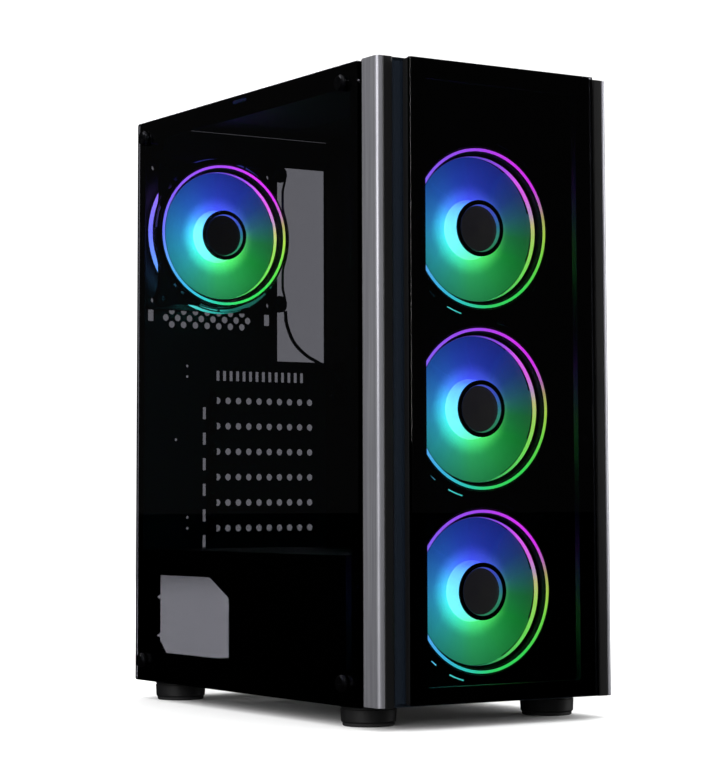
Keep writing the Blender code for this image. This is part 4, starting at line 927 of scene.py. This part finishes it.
# %% Feet
for name in ("front_left", "front_right", "rear_left", "rear_right"):
    low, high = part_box(f"foot_{name}")
    centre = ((low.x + high.x) / 2, (low.y + high.y) / 2, 0)
    body = lathe(millimetres((0, 2.2), (17.6, 2.2), (18.2, 2.6), (18.6, 3.4), (19.1, 11.2), (18.5, 11.6),
                             (18.5, 12.3),
                             (19.2, 12.7), (19.2, 13.3), (0, 13.3)), centre, "Z", 72)
    sole = lathe(millimetres((0, 0.0), (16.9, 0.0), (17.6, 0.6), (17.6, 2.3), (0, 2.3)), centre, "Z", 72)
    stands_for(piece(f"foot_body_{name}", ABS_FOOT, body), "case", "foot_rubber", f"foot_{name}")
    stands_for(piece(f"foot_sole_{name}", RUBBER, sole), "case", "foot_rubber")
print("four feet")

# %% [markdown]
# ## Steel chassis
# The chassis is pressed and folded sheet. Each panel is one flat outline with its holes, thickened, and its
# flanges are folded sheets along its edges, written as rounded boxes. The roof has slanted air slots, the
# rear panel a staggered field of round holes behind the fan, and the slot covers one row of holes each.

# %% Sheet metal helpers
SHEET_LEFT, SHEET_RIGHT = REAR_LOW.x, REAR_HIGH.x
FOLD_LOW, FOLD_HIGH = BASE + 15.3 * MM, TOP - 16.1 * MM
TOP_SLOT, SLOT_PITCH = 217.8, 20.32


def fold(low, high, soften=0.3 * MM):
    return rounded_box(low, high, soften, 2)


def side_edge_of(low, high):
    """The sharp outline of a box as seen from the side."""
    rear, bottom, front, top = corners_of(low, high, "side")
    return [(rear, bottom), (front, bottom), (front, top), (rear, top)]


def slanted(x, y, half_long, half_wide, degrees):
    """A slot with round ends, turned about its middle."""
    turn = math.radians(degrees)
    shape = bend(half_long - half_wide, 0, half_wide, -90, 90, 5) + bend(half_wide - half_long, 0, half_wide,
                                                                         90, 270, 5)
    return [(x + a * math.cos(turn) - b * math.sin(turn), y + a * math.sin(turn) + b * math.cos(turn))
            for a, b in shape]


def panel_screw_holes(radius, count):
    places = [middle_of(f"panel_screw_{name}") for name in ("lower", "upper")]
    return [circle(place.x, place.z, radius, count) for place in places]


def slot_height(slot):
    """Millimetres from the floor to the middle of one slot cover, counted from the top."""
    return TOP_SLOT - SLOT_PITCH * slot


def case_box(left, low, right, high):
    """A rectangle on the rear face, from x and height in the case's datum."""
    return rounded(CENTRE + left, BASE + low, CENTRE + right, BASE + high, 0.4 * MM, 2)


# %% Roof
roof_holes = [slanted(CENTRE - 19 * MM, REAR - (101 + 14.5 * row) * MM, 55 * MM, 2.4 * MM, 45)
              for row in range(7)]
MODULE_LOW, MODULE_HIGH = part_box("io_module")
roof_holes.append(rounded(MODULE_LOW.x - 0.3 * MM, MODULE_LOW.y - 0.3 * MM, MODULE_HIGH.x + 0.3 * MM,
                          MODULE_HIGH.y + 0.3 * MM, 1.0 * MM))
roof_edge = rounded(*corners_of(TOP_LOW, TOP_HIGH, "flat"), 0.5 * MM, 2)
roof = plate(roof_edge, roof_holes, "flat", TOP - STEEL, TOP, 0.2 * MM)
post_cuts = [circle(spot.y, spot.z, 5.2 * MM, 24) for spot in spots[:2]]
blue_slot = rounded(REAR - 169 * MM, BASE + 429.8 * MM, REAR - 148 * MM, BASE + 432.2 * MM, 0.8 * MM)
roof_left = plate(side_edge_of(TOP_LOW, TOP_HIGH), post_cuts + [blue_slot], "side", TOP_LOW.x,
                  TOP_LOW.x + STEEL, 0.2 * MM)
roof_right = fold((TOP_HIGH.x - STEEL, TOP_LOW.y, TOP_LOW.z), TOP_HIGH)
stands_for(piece("roof_sheet", STEEL_BLACK, roof, roof_left, roof_right), "case", "black_steel", "top_panel")
SIEVE_PITCH, SIEVE_THREAD = 1.1 * MM, 0.8 * MM
sieve_low, sieve_high = (CENTRE - 64 * MM, REAR - 236 * MM), (CENTRE + 26 * MM, REAR - 55 * MM)
xs = [sieve_low[0] + i * SIEVE_PITCH for i in range(int((sieve_high[0] - sieve_low[0]) / SIEVE_PITCH))]
ys = [sieve_low[1] + i * SIEVE_PITCH for i in range(int((sieve_high[1] - sieve_low[1]) / SIEVE_PITCH))]
lengthwise = [rounded_box((x, sieve_low[1], TOP - 1.5 * MM),
                          (x + SIEVE_THREAD, sieve_high[1], TOP - 1.3 * MM), 0)
              for x in xs]
crosswise = [rounded_box((sieve_low[0], y, TOP - 1.3 * MM), (sieve_high[0], y + SIEVE_THREAD, TOP - 1.1 * MM),
                         0)
             for y in ys]
stands_for(piece("roof_dust_mesh", ABS_GREY, *lengthwise, *crosswise), "case", "grey_plastic")
print("roof with", len(roof_holes) - 1, "air slots")

# %% Floor and filter
floor_slots = [rounded(CENTRE + (c * 11 - 2.5) * MM, REAR - (row + 22) * MM, CENTRE + (c * 11 + 2.5) * MM,
                       REAR - (row - 22) * MM, 2.4 * MM) for row in (60, 115) for c in range(-4, 5)]
floor_edge = rounded(*corners_of(FLOOR_LOW, FLOOR_HIGH, "flat"), 0.5 * MM, 2)
floor_sheet = plate(floor_edge, floor_slots, "flat", BASE, BASE + STEEL, 0.2 * MM)
floor_left = plate(side_edge_of(Vector((0, FLOOR_LOW.y, BASE)), FLOOR_HIGH), [], "side", FLOOR_LOW.x,
                   FLOOR_LOW.x + STEEL, 0.2 * MM)
floor_right = fold((FLOOR_HIGH.x - STEEL, FLOOR_LOW.y, BASE), FLOOR_HIGH)
FILTER_LOW, FILTER_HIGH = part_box("psu_filter")
RAIL_FRONT = FILTER_LOW.y - 4 * MM
rails = []
for side, near in ((-1, FILTER_LOW.x), (1, FILTER_HIGH.x)):
    edge = near + side * 0.5 * MM
    outer = edge + side * STEEL
    lip = edge - side * 2.5 * MM
    for near_edge, top in ((edge, BASE + 0.1 * MM), (lip, BASE - 3.3 * MM)):
        rails.append(fold((min(near_edge, outer), RAIL_FRONT, BASE - 4.2 * MM),
                          (max(near_edge, outer), REAR - 6 * MM, top), 0.2 * MM))
stands_for(piece("floor_sheet", STEEL_BLACK, floor_sheet, floor_left, floor_right, *rails), "case",
           "black_steel",
           "floor_panel")
rim = rounded(*corners_of(FILTER_LOW, FILTER_HIGH, "flat"), 2 * MM)
WEAVE, THREAD = 2.0 * MM, 0.35 * MM
filter_wide, filter_deep = FILTER_HIGH.x - FILTER_LOW.x, FILTER_HIGH.y - FILTER_LOW.y
rib_holes = []
for column in range(3):
    for row in range(4):
        wide, deep = (filter_wide - 16 * MM) / 3, (filter_deep - 19 * MM) / 4
        x, y = FILTER_LOW.x + 5 * MM + column * (wide + 3 * MM), FILTER_LOW.y + 5 * MM + row * (deep + 3 * MM)
        rib_holes.append(rounded(x, y, x + wide, y + deep, 1.5 * MM, 3))
sieve = plate(rim, rib_holes, "flat", FILTER_LOW.z, FILTER_HIGH.z, 0.3 * MM)
stands_for(piece("filter_frame", ABS_GREY, sieve), "psu_filter", "grey_plastic", "psu_filter")
threads = []
level = (FILTER_LOW.z + FILTER_HIGH.z) / 2
for index in range(int((filter_wide - 8 * MM) / WEAVE)):
    x = FILTER_LOW.x + 4 * MM + index * WEAVE
    threads.append(rounded_box((x, FILTER_LOW.y + 3 * MM, level),
                               (x + THREAD, FILTER_HIGH.y - 3 * MM, level + THREAD), 0))
for index in range(int((filter_deep - 8 * MM) / WEAVE)):
    y = FILTER_LOW.y + 4 * MM + index * WEAVE
    threads.append(rounded_box((FILTER_LOW.x + 3 * MM, y, level - THREAD),
                               (FILTER_HIGH.x - 3 * MM, y + THREAD, level), 0))
stands_for(piece("filter_mesh", ABS_GREY, *threads), "psu_filter", "grey_plastic")
print("filter mesh of", len(threads), "threads")

# %% Rear panel
REAR_FAN = middle_of("rear_fan_front_ring")
IO_LEFT, IO_RIGHT, IO_LOW, IO_HIGH = 32.0 * MM, 77.2 * MM, 250.9 * MM, 410.1 * MM
rear_holes = []
for row in range(-9, 10):
    for column in range(-5, 6):
        across, up = (column + (row % 2) / 2) * 10.63 * MM, row * 5.315 * MM
        if math.hypot(across, up) < 50 * MM:
            rear_holes.append(circle(REAR_FAN.x + across, REAR_FAN.z + up, 2.9 * MM, 14))
rear_holes += screw_holes(REAR_FAN, 2.2 * MM, 16)
rear_holes.append(case_box(IO_LEFT, IO_LOW, IO_RIGHT, IO_HIGH))
SLOT_LEFT, SLOT_RIGHT = -27.3 * MM, 66.5 * MM
for slot in range(6):
    z = slot_height(slot) * MM
    rear_holes.append(case_box(SLOT_LEFT, z - 6.75 * MM, SLOT_RIGHT, z + 6.75 * MM))
    rear_holes.append(case_box(-36.2 * MM, z - 15.0 * MM, -33.2 * MM, z - 5.4 * MM))
for column in range(14):
    x = (-22.4 + 6.0 * column) * MM
    rear_holes.append(case_box(x - 1.5 * MM, 233.8 * MM, x + 1.5 * MM, 241.8 * MM))
for row, (count, shift) in enumerate(((7, 0.0), (8, -0.5), (7, 0.0))):
    rear_holes += [circle(CENTRE + (-64.3 + (c + shift) * 10.63) * MM, BASE + (288.1 - row * 5.3) * MM,
                          2.7 * MM, 16)
                   for c in range(count)]
for x in (-85.5, 20.0):
    rear_holes.append(case_box(x * MM, 279.5 * MM, (x + 5) * MM, 288.5 * MM))
rear_holes += [circle(CENTRE + x * MM, BASE + z * MM, 1.2 * MM, 12) for x, z in
               ((-50.3, 244.8), (-50.3, 236.4), (-60.2, 186.2), (-49.8, 125.0), (-49.8, 116.4))]
psu = [(-64.5, 13.5), (57.5, 13.5), (66.5, 29.0), (66.5, 31.5), (69.5, 33.3), (66.5, 35.1), (66.5, 61.4),
       (69.5, 63.2),
       (66.5, 65.0), (66.5, 85.5), (-73.5, 85.5), (-73.5, 65.0), (-76.5, 63.2), (-73.5, 61.4), (-73.5, 35.1),
       (-76.5, 33.3), (-73.5, 31.5), (-73.5, 29.0)]
rear_holes.append([(CENTRE + x * MM, BASE + z * MM) for x, z in psu])
rear_holes += panel_screw_holes(2.3 * MM, 16)
rear_edge = rounded(SHEET_LEFT, REAR_LOW.z, SHEET_RIGHT, REAR_HIGH.z, 0.5 * MM, 2)
rear_sheet = plate(rear_edge, rear_holes, "front", REAR - STEEL, REAR, 0.15 * MM)
side_folds = [fold((x, REAR_LOW.y, FOLD_LOW), (x + STEEL, REAR, FOLD_HIGH))
              for x in (SHEET_LEFT, SHEET_RIGHT - STEEL)]
io_rim = plate(case_box(IO_LEFT - 2 * MM, IO_LOW - 2 * MM, IO_RIGHT + 2 * MM, IO_HIGH + 2 * MM),
               [case_box(IO_LEFT, IO_LOW, IO_RIGHT, IO_HIGH)], "front", REAR - 1.6 * MM, REAR - 0.9 * MM,
               0.1 * MM)
stands_for(piece("rear_sheet", STEEL_BLACK, rear_sheet, *side_folds, io_rim), "case", "black_steel",
           "rear_panel")
print("rear panel with", len(rear_holes), "holes")

# %% Slot covers
for slot in range(6):
    low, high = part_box(f"slot_cover_{slot + 1}")
    z = BASE + slot_height(slot) * MM
    face = high.y
    dots = [circle(CENTRE + (-23.3 + 9.53 * i) * MM, z, 2.7 * MM, 18) for i in range(10)]
    blade = plate(rounded(*corners_of(low, high, "front"), 1.0 * MM), dots, "front", face - STEEL, face,
                  0.15 * MM)
    tab = fold((low.x, low.y, low.z + 2 * MM), (low.x + STEEL, face - 0.5 * STEEL, high.z - 2 * MM))
    stands_for(piece(f"slot_blank_{slot + 1}", STEEL_BLACK, blade, tab), "case", "black_steel",
               f"slot_cover_{slot + 1}")
    head = lathe(millimetres((0, 0), (3.0, 0), (3.3, 0.3), (3.3, 1.6), (3.9, 1.8), (3.9, 2.2), (0, 2.2)),
                 ORIGIN,
                 "Z", 32)
    seated([head], (low.x - 2.4 * MM, face - 7.5 * MM, z), 90)
    stands_for(piece(f"slot_screw_{slot + 1}", ZINC, head), "case", "black_steel")
print("six slot covers")

# %% Front plate
FAN_NAMES = ("front_fan_top", "front_fan_middle", "front_fan_bottom")
front_holes = []
for name in FAN_NAMES:
    hub = middle_of(f"{name}_front_ring")
    front_holes.append(circle(hub.x, hub.z, 58.0 * MM, 96))
    front_holes += screw_holes(hub, 2.3 * MM, 16)
    for quarter in range(4):
        for start, end in ((47.5, 52.5), (64, 76)):
            front_holes.append(arc_slot(hub, 61.2 * MM, 62.3 * MM, 90 * quarter + start, 90 * quarter + end))
front_edge = rounded(*corners_of(PLATE_LOW, PLATE_HIGH, "front"), 0.5 * MM, 2)
front_sheet = plate(front_edge, front_holes, "front", PLATE_LOW.y, PLATE_LOW.y + STEEL, 0.1 * MM)
front_folds = []
for x in (PLATE_LOW.x, PLATE_HIGH.x - STEEL):
    edge = [(PLATE_LOW.y, FOLD_LOW), (PLATE_HIGH.y, FOLD_LOW), (PLATE_HIGH.y, FOLD_HIGH),
            (PLATE_LOW.y, FOLD_HIGH)]
    dots = [circle((PLATE_LOW.y + PLATE_HIGH.y) / 2, BASE + z * MM, 1.4 * MM, 12)
            for z in (80, 160, 240, 330, 385, 402)]
    front_folds.append(plate(edge, dots, "side", x, x + STEEL, 0.2 * MM))
stands_for(piece("front_sheet", STEEL_BLACK, front_sheet, *front_folds), "case", "black_steel", "front_plate")
print("front plate with", len(front_holes), "holes")

# %% [markdown]
# ## Inside
# The motherboard tray is a plate with cable holes, two of them edged with rubber grommets, and nine brass
# standoffs. The shroud hides the power supply bay and has a window in its side. The drive cage stands in
# front of the bay.

# %% Motherboard tray and shroud
TRAY_LOW, TRAY_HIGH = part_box("motherboard_tray")
TRAY_FACE = CENTRE + 78.5 * MM
TRAY_CUTS = ((45, 150, 278, 385), (254, 276, 300, 375), (254, 276, 200, 275), (170, 230, 107, 122),
             (70, 130, 107, 122),
             (40, 90, 408, 420), (160, 200, 30, 80), (12, 34, 214, 250))


def on_tray(rear, front, low, high, grow=0.0, radius=3.0 * MM):
    return rounded(REAR - front * MM - grow, BASE + low * MM - grow, REAR - rear * MM + grow,
                   BASE + high * MM + grow,
                   radius + grow, 5)


tray_edge = rounded(*corners_of(TRAY_LOW, TRAY_HIGH, "side"), 1 * MM, 2)
tray_sheet = plate(tray_edge, [on_tray(*cut) for cut in TRAY_CUTS], "side", TRAY_FACE, TRAY_FACE + STEEL,
                   0.15 * MM)
socket = fold((TRAY_FACE + STEEL, REAR - 38 * MM, BASE + 176 * MM),
              (TRAY_HIGH.x, REAR - 28 * MM, BASE + 189.7 * MM), 0.5 * MM)
stands_for(piece("tray_sheet", STEEL_BLACK, tray_sheet, socket), "case", "black_steel", "motherboard_tray")
grommets = [plate(on_tray(*cut, 1.6 * MM), [on_tray(*cut, -2.0 * MM, 3.5 * MM)], "side", TRAY_FACE - 1.0 * MM,
                  TRAY_FACE + STEEL + 1.0 * MM, 0.4 * MM) for cut in TRAY_CUTS[1:3]]
stands_for(piece("tray_grommets", RUBBER, *grommets), "case", "black_steel")
bosses = []
for y in (18, 165, 238):
    for z in (400, 275, 135):
        boss = lathe(millimetres((1.3, 0), (1.3, 5.6), (2.6, 5.6), (3.1, 5.2), (3.1, 0)), ORIGIN, "Z", 6)
        bosses += seated([boss], (TRAY_FACE, REAR - y * MM, BASE + z * MM), -90)
BRASS = plated_screw("brass_standoff", "#8a6a2c", (0.3, 0.42))
stands_for(piece("board_standoffs", BRASS, *bosses, angle=30), "case", "black_steel")
SHROUD_LOW, SHROUD_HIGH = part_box("psu_shroud")
view_cut = [(10, 22), (10, 81), (106, 81), (135, 66.5), (135, 22)]
view_cut = [(REAR - f * MM, BASE + z * MM) for f, z in view_cut]
shroud_side = plate(side_edge_of(SHROUD_LOW, SHROUD_HIGH), [view_cut], "side", SHROUD_LOW.x,
                    SHROUD_LOW.x + STEEL, 0.15 * MM)
lid_holes = [rounded(CENTRE + l * MM, REAR - f * MM, CENTRE + 65 * MM, REAR - r * MM, 4 * MM) for l, r, f in
             ((35, 225, 285), (40, 60, 120))]
lid_edge = rounded(*corners_of(SHROUD_LOW, SHROUD_HIGH, "flat"), 1 * MM, 2)
shroud_lid = plate(lid_edge, lid_holes, "flat", SHROUD_HIGH.z - STEEL, SHROUD_HIGH.z, 0.2 * MM)
shroud_front = fold((SHROUD_LOW.x, SHROUD_LOW.y, SHROUD_LOW.z),
                    (SHROUD_HIGH.x, SHROUD_LOW.y + STEEL, SHROUD_HIGH.z))
stands_for(piece("shroud_sheet", STEEL_BLACK, shroud_side, shroud_lid, shroud_front), "case", "black_steel",
           "psu_shroud")
print("tray with", len(TRAY_CUTS), "cable holes")

# %% Drive cage and tray
CAGE_LOW, CAGE_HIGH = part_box("drive_cage")
cage_slots = [rounded(CAGE_LOW.y + (10 + 22 * i) * MM, z, CAGE_LOW.y + (24 + 22 * i) * MM, z + 4 * MM,
                      1.9 * MM)
              for i in range(3) for z in (CAGE_LOW.z + 16 * MM, CAGE_LOW.z + 50 * MM)]
cage_shapes = [plate(side_edge_of(CAGE_LOW, CAGE_HIGH), cage_slots, "side", x, x + STEEL, 0.15 * MM)
               for x in (CAGE_LOW.x, CAGE_HIGH.x - STEEL)]
cage_shapes += [fold((CAGE_LOW.x, CAGE_LOW.y, z), (CAGE_HIGH.x, CAGE_HIGH.y, z + STEEL)) for z in
                (CAGE_LOW.z, CAGE_HIGH.z - STEEL)]
cage_shapes.append(fold((CAGE_LOW.x, CAGE_LOW.y, CAGE_LOW.z), (CAGE_HIGH.x, CAGE_LOW.y + STEEL, CAGE_HIGH.z)))
stands_for(piece("cage_sheet", STEEL_BLACK, *cage_shapes), "case", "black_steel", "drive_cage")
SLED_LOW, SLED_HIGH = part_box("drive_tray")
sled = [rounded_box((x, SLED_LOW.y, SLED_LOW.z), (x + 3 * MM, SLED_HIGH.y, SLED_HIGH.z), 0.6 * MM, 3) for x in
        (SLED_LOW.x, SLED_HIGH.x - 3 * MM)]
sled.append(plate(rounded(*corners_of(SLED_LOW, SLED_HIGH, "front"), 1.5 * MM),
                  [rounded(CENTRE - 16 * MM, SLED_LOW.z + 9 * MM, CENTRE + 16 * MM, SLED_LOW.z + 19 * MM,
                           4 * MM)],
                  "front", SLED_HIGH.y - 4 * MM, SLED_HIGH.y, 0.6 * MM))
sled_holes = [rounded(CENTRE + x * MM, SLED_LOW.y + 12 * MM, CENTRE + (x + 28) * MM, SLED_HIGH.y - 16 * MM,
                      5 * MM)
              for x in (-42, 14)]
sled.append(plate(rounded(*corners_of(SLED_LOW, SLED_HIGH, "flat"), 1 * MM), sled_holes, "flat", SLED_LOW.z,
                  SLED_LOW.z + 3 * MM, 0.4 * MM))
stands_for(piece("drive_sled", ABS_GREY, *sled), "drive_tray", "grey_plastic", "drive_tray")
print("cage and sled")

# %% [markdown]
# ## Right panel and roof controls
# The right panel is a plain sheet with folded rims and a lip for its two screws. On the roof a satin strip
# holds two buttons, three blue-tongued sockets and two audio jacks.

# %% Right panel
PANEL_LOW, PANEL_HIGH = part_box("right_panel")
panel_edge = rounded(*corners_of(PANEL_LOW, PANEL_HIGH, "side"), 1.5 * MM, 4)
panel_sheet = plate(panel_edge, [], "side", PANEL_HIGH.x - STEEL, PANEL_HIGH.x, 0.3 * MM)
lip_edge = rounded(RIGHT - 14.5 * MM, BASE + 12 * MM, RIGHT - 0.5 * MM, TOP - 12 * MM, 1.5 * MM)
lip = plate(lip_edge, panel_screw_holes(2.4 * MM, 20), "front", PANEL_HIGH.y - STEEL, PANEL_HIGH.y, 0.2 * MM)
stands_for(piece("right_sheet", STEEL_BLACK, panel_sheet, lip), "right_panel", "black_steel", "right_panel")
print("right panel", [round(v / MM, 1) for v in PANEL_HIGH - PANEL_LOW], "mm")

# %% Roof controls
SOCKET_BLUE = moulded_abs("blue_socket_tongue", "#1c4fae", (0.4, 0.5))
module_y = (MODULE_LOW.y + MODULE_HIGH.y) / 2
USB_XS, JACK_XS = (-20, 1, 22), (40, 51)
strip_holes = [rounded(CENTRE + (x - 6.7) * MM, module_y - 3.0 * MM, CENTRE + (x + 6.7) * MM,
                       module_y + 3.0 * MM, 0.6 * MM)
               for x in USB_XS]
strip_holes += [circle(CENTRE + x * MM, module_y, 3.2 * MM, 32) for x in JACK_XS]
strip_holes += [circle(CENTRE + x * MM, module_y, r * MM, 48) for x, r in ((-48, 7.1), (-34, 4.1))]
strip_edge = rounded(*corners_of(MODULE_LOW, MODULE_HIGH, "flat"), 2.0 * MM, 5)
strip = plate(strip_edge, strip_holes, "flat", MODULE_HIGH.z - 1.8 * MM, MODULE_HIGH.z, 0.25 * MM)
board = rounded_box(MODULE_LOW, (MODULE_HIGH.x, MODULE_HIGH.y, MODULE_LOW.z + 2 * MM), 0.4 * MM, 2)
skirts = [rounded_box((MODULE_LOW.x, y, MODULE_LOW.z), (MODULE_HIGH.x, y + 1.2 * MM, MODULE_HIGH.z - 1 * MM),
                      0.3 * MM, 2)
          for y in (MODULE_LOW.y, MODULE_HIGH.y - 1.2 * MM)]
stands_for(piece("control_strip", ABS_CHANNEL, strip, board, *skirts), "case", "bezel_plastic", "io_module")
shells, tongues = [], []
for x in USB_XS:
    low_x, high_x = CENTRE + (x - 6.5) * MM, CENTRE + (x + 6.5) * MM
    outer = rounded(low_x, module_y - 2.9 * MM, high_x, module_y + 2.9 * MM, 0.6 * MM)
    inner = rounded(low_x + 0.4 * MM, module_y - 2.5 * MM, high_x - 0.4 * MM, module_y + 2.5 * MM, 0.4 * MM)
    shells.append(plate(outer, [inner], "flat", MODULE_LOW.z + 2 * MM, MODULE_HIGH.z - 0.2 * MM, 0.08 * MM))
    tongues.append(rounded_box((low_x + 1.0 * MM, module_y + 0.4 * MM, MODULE_LOW.z + 2 * MM),
                               (high_x - 1.0 * MM, module_y + 2.2 * MM, MODULE_HIGH.z - 1.2 * MM), 0.2 * MM,
                               2))
for x in JACK_XS:
    shells.append(lathe(millimetres((1.9, 0), (2.0, 0.3), (2.9, 0.3), (3.1, 0.0), (3.1, -8.0), (1.9, -8.0)),
                        (CENTRE + x * MM, module_y, MODULE_HIGH.z), "Z", 40))
stands_for(piece("socket_shells", ZINC, *shells), "case", "bezel_plastic")
stands_for(piece("socket_tongues", SOCKET_BLUE, *tongues), "case", "bezel_plastic")
for name, radius in (("power_button", 6.8), ("light_button", 3.8)):
    low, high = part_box(name)
    top = (high.z - MODULE_HIGH.z) / MM
    spot = ((low.x + high.x) / 2, module_y, MODULE_HIGH.z)
    dome = lathe(millimetres((0, top - 0.35), (radius * 0.6, top - 0.22), (radius - 0.9, top),
                             (radius - 0.3, top - 0.15),
                             (radius, top - 0.6), (radius, -3.0), (0, -3.0)), spot, "Z", 64)
    stands_for(piece(f"{name}_cap", ABS_BUTTON, dome), name, "button_plastic", name)
print("controls with", len(USB_XS), "sockets and", len(JACK_XS), "jacks")

# %% [markdown]
# ## Rear fan cable
# The rear fan's lead is a sleeved cable held at both ends, from the fan's frame to its socket on the tray.
# Its route repeats the points of the CAD solid; a smooth curve through them becomes a POLY spline.

# %% Cable
CABLE_ROUTE = [(0.0285, 0.0205, 0.2905), (0.0300, 0.0200, 0.2800), (0.0370, 0.0190, 0.2660),
               (0.0490, 0.0175, 0.2560), (0.0610, 0.0175, 0.2500), (0.0715, 0.0185, 0.2440),
               (0.0800, 0.0205, 0.2360), (0.0870, 0.0240, 0.2240), (0.0885, 0.0290, 0.2080),
               (0.0885, 0.0330, 0.1900)]
points = [at(*point) for point in CABLE_ROUTE]
chain = [points[0] * 2 - points[1]] + points + [points[-1] * 2 - points[-2]]
route = []
for first, second, third, fourth in zip(chain, chain[1:], chain[2:], chain[3:]):
    for step in range(5):
        t = step / 5
        bow = 2 * first - 5 * second + 4 * third - fourth
        twist = 3 * second - first - 3 * third + fourth
        route.append(0.5 * (2 * second + (third - first) * t + bow * t ** 2 + twist * t ** 3))
route.append(points[-1])
lead = bpy.data.curves.new("fan_lead", "CURVE")
lead.dimensions = "3D"
lead.bevel_depth = 1.4 * MM
lead.bevel_resolution = 3
lead.use_fill_caps = True
strand = lead.splines.new("POLY")
strand.points.add(len(route) - 1)
for point, place in zip(strand.points, route):
    point.co = (*place, 1.0)
lead.materials.append(RUBBER)
cable = bpy.data.objects.new("fan_lead", lead)
bpy.context.scene.collection.objects.link(cable)
stands_for(cable, "case", "cable_sleeve", "rear_fan_cable")

# %% Lights, floor and world


def area_light(name, place, aim, width, height, power, colour="#ffffff"):
    lamp = bpy.data.lights.new(name, "AREA")
    lamp.shape = "RECTANGLE"
    lamp.size = width
    lamp.size_y = height
    lamp.energy = power
    lamp.color = linear(colour)[:3]
    made = bpy.data.objects.new(name, lamp)
    made.location = place
    made.rotation_euler = (Vector(aim) - Vector(place)).to_track_quat("-Z", "Y").to_euler()
    bpy.context.scene.collection.objects.link(made)
    return made


MIDDLE = (CENTRE, 0, 0.22)
area_light("softbox_left", (-1.9, -1.0, 1.0), MIDDLE, 0.9, 1.6, 26)
area_light("softbox_over", (0.2, 0.1, 2.4), MIDDLE, 1.8, 1.8, 30)
area_light("strip_right", (2.0, -0.75, 0.5), MIDDLE, 0.35, 1.6, 18)
area_light("softbox_back", (1.3, 2.0, 1.4), MIDDLE, 1.2, 1.2, 20)

floor_mesh = bpy.data.meshes.new("studio_floor")
floor_shape = bmesh.new()
bmesh.ops.create_grid(floor_shape, x_segments=1, y_segments=1, size=30.0)
floor_shape.to_mesh(floor_mesh)
floor_shape.free()
studio_floor = bpy.data.objects.new("studio_floor", floor_mesh)
bpy.context.scene.collection.objects.link(studio_floor)
floor_finish, floor_tree, floor_shader = finish_named("matt_paper_floor")
paper = grain(floor_tree, object_space(floor_tree), 1.5 * MM, 2.0)
set_inputs(floor_tree, floor_shader,
           {"Base Color": blend_colours(floor_tree, paper, linear("#f4f4f4"), linear("#fafafa")),
                                      "Roughness": 0.9, "Specular IOR Level": 0.1})
unlit = node(floor_tree, "ShaderNodeEmission", {"Color": (0.0, 0.0, 0.0, 1.0), "Strength": 0.0})
floor_look = node(floor_tree, "ShaderNodeMixShader",
                  {0: seen_in_mirror(floor_tree), 1: floor_shader.outputs[0],
                                                      2: unlit.outputs[0]})
floor_out = next(n for n in floor_tree.nodes if n.type == "OUTPUT_MATERIAL")
floor_tree.links.new(floor_look.outputs[0], floor_out.inputs["Surface"])
floor_mesh.materials.append(floor_finish)

world = bpy.data.worlds.new("studio")
bpy.context.scene.world = world
world.use_nodes = True
sky = world.node_tree
sky.nodes.clear()
bright = node(sky, "ShaderNodeBackground", {"Color": (1, 1, 1, 1), "Strength": 1.2})
dim = node(sky, "ShaderNodeBackground", {"Color": (1, 1, 1, 1), "Strength": 0.015})
chosen = node(sky, "ShaderNodeMixShader", {0: seen_in_mirror(sky), 1: bright.outputs[0], 2: dim.outputs[0]})
node(sky, "ShaderNodeOutputWorld", {"Surface": chosen.outputs[0]})
bpy.context.scene.view_settings.view_transform = "Standard"
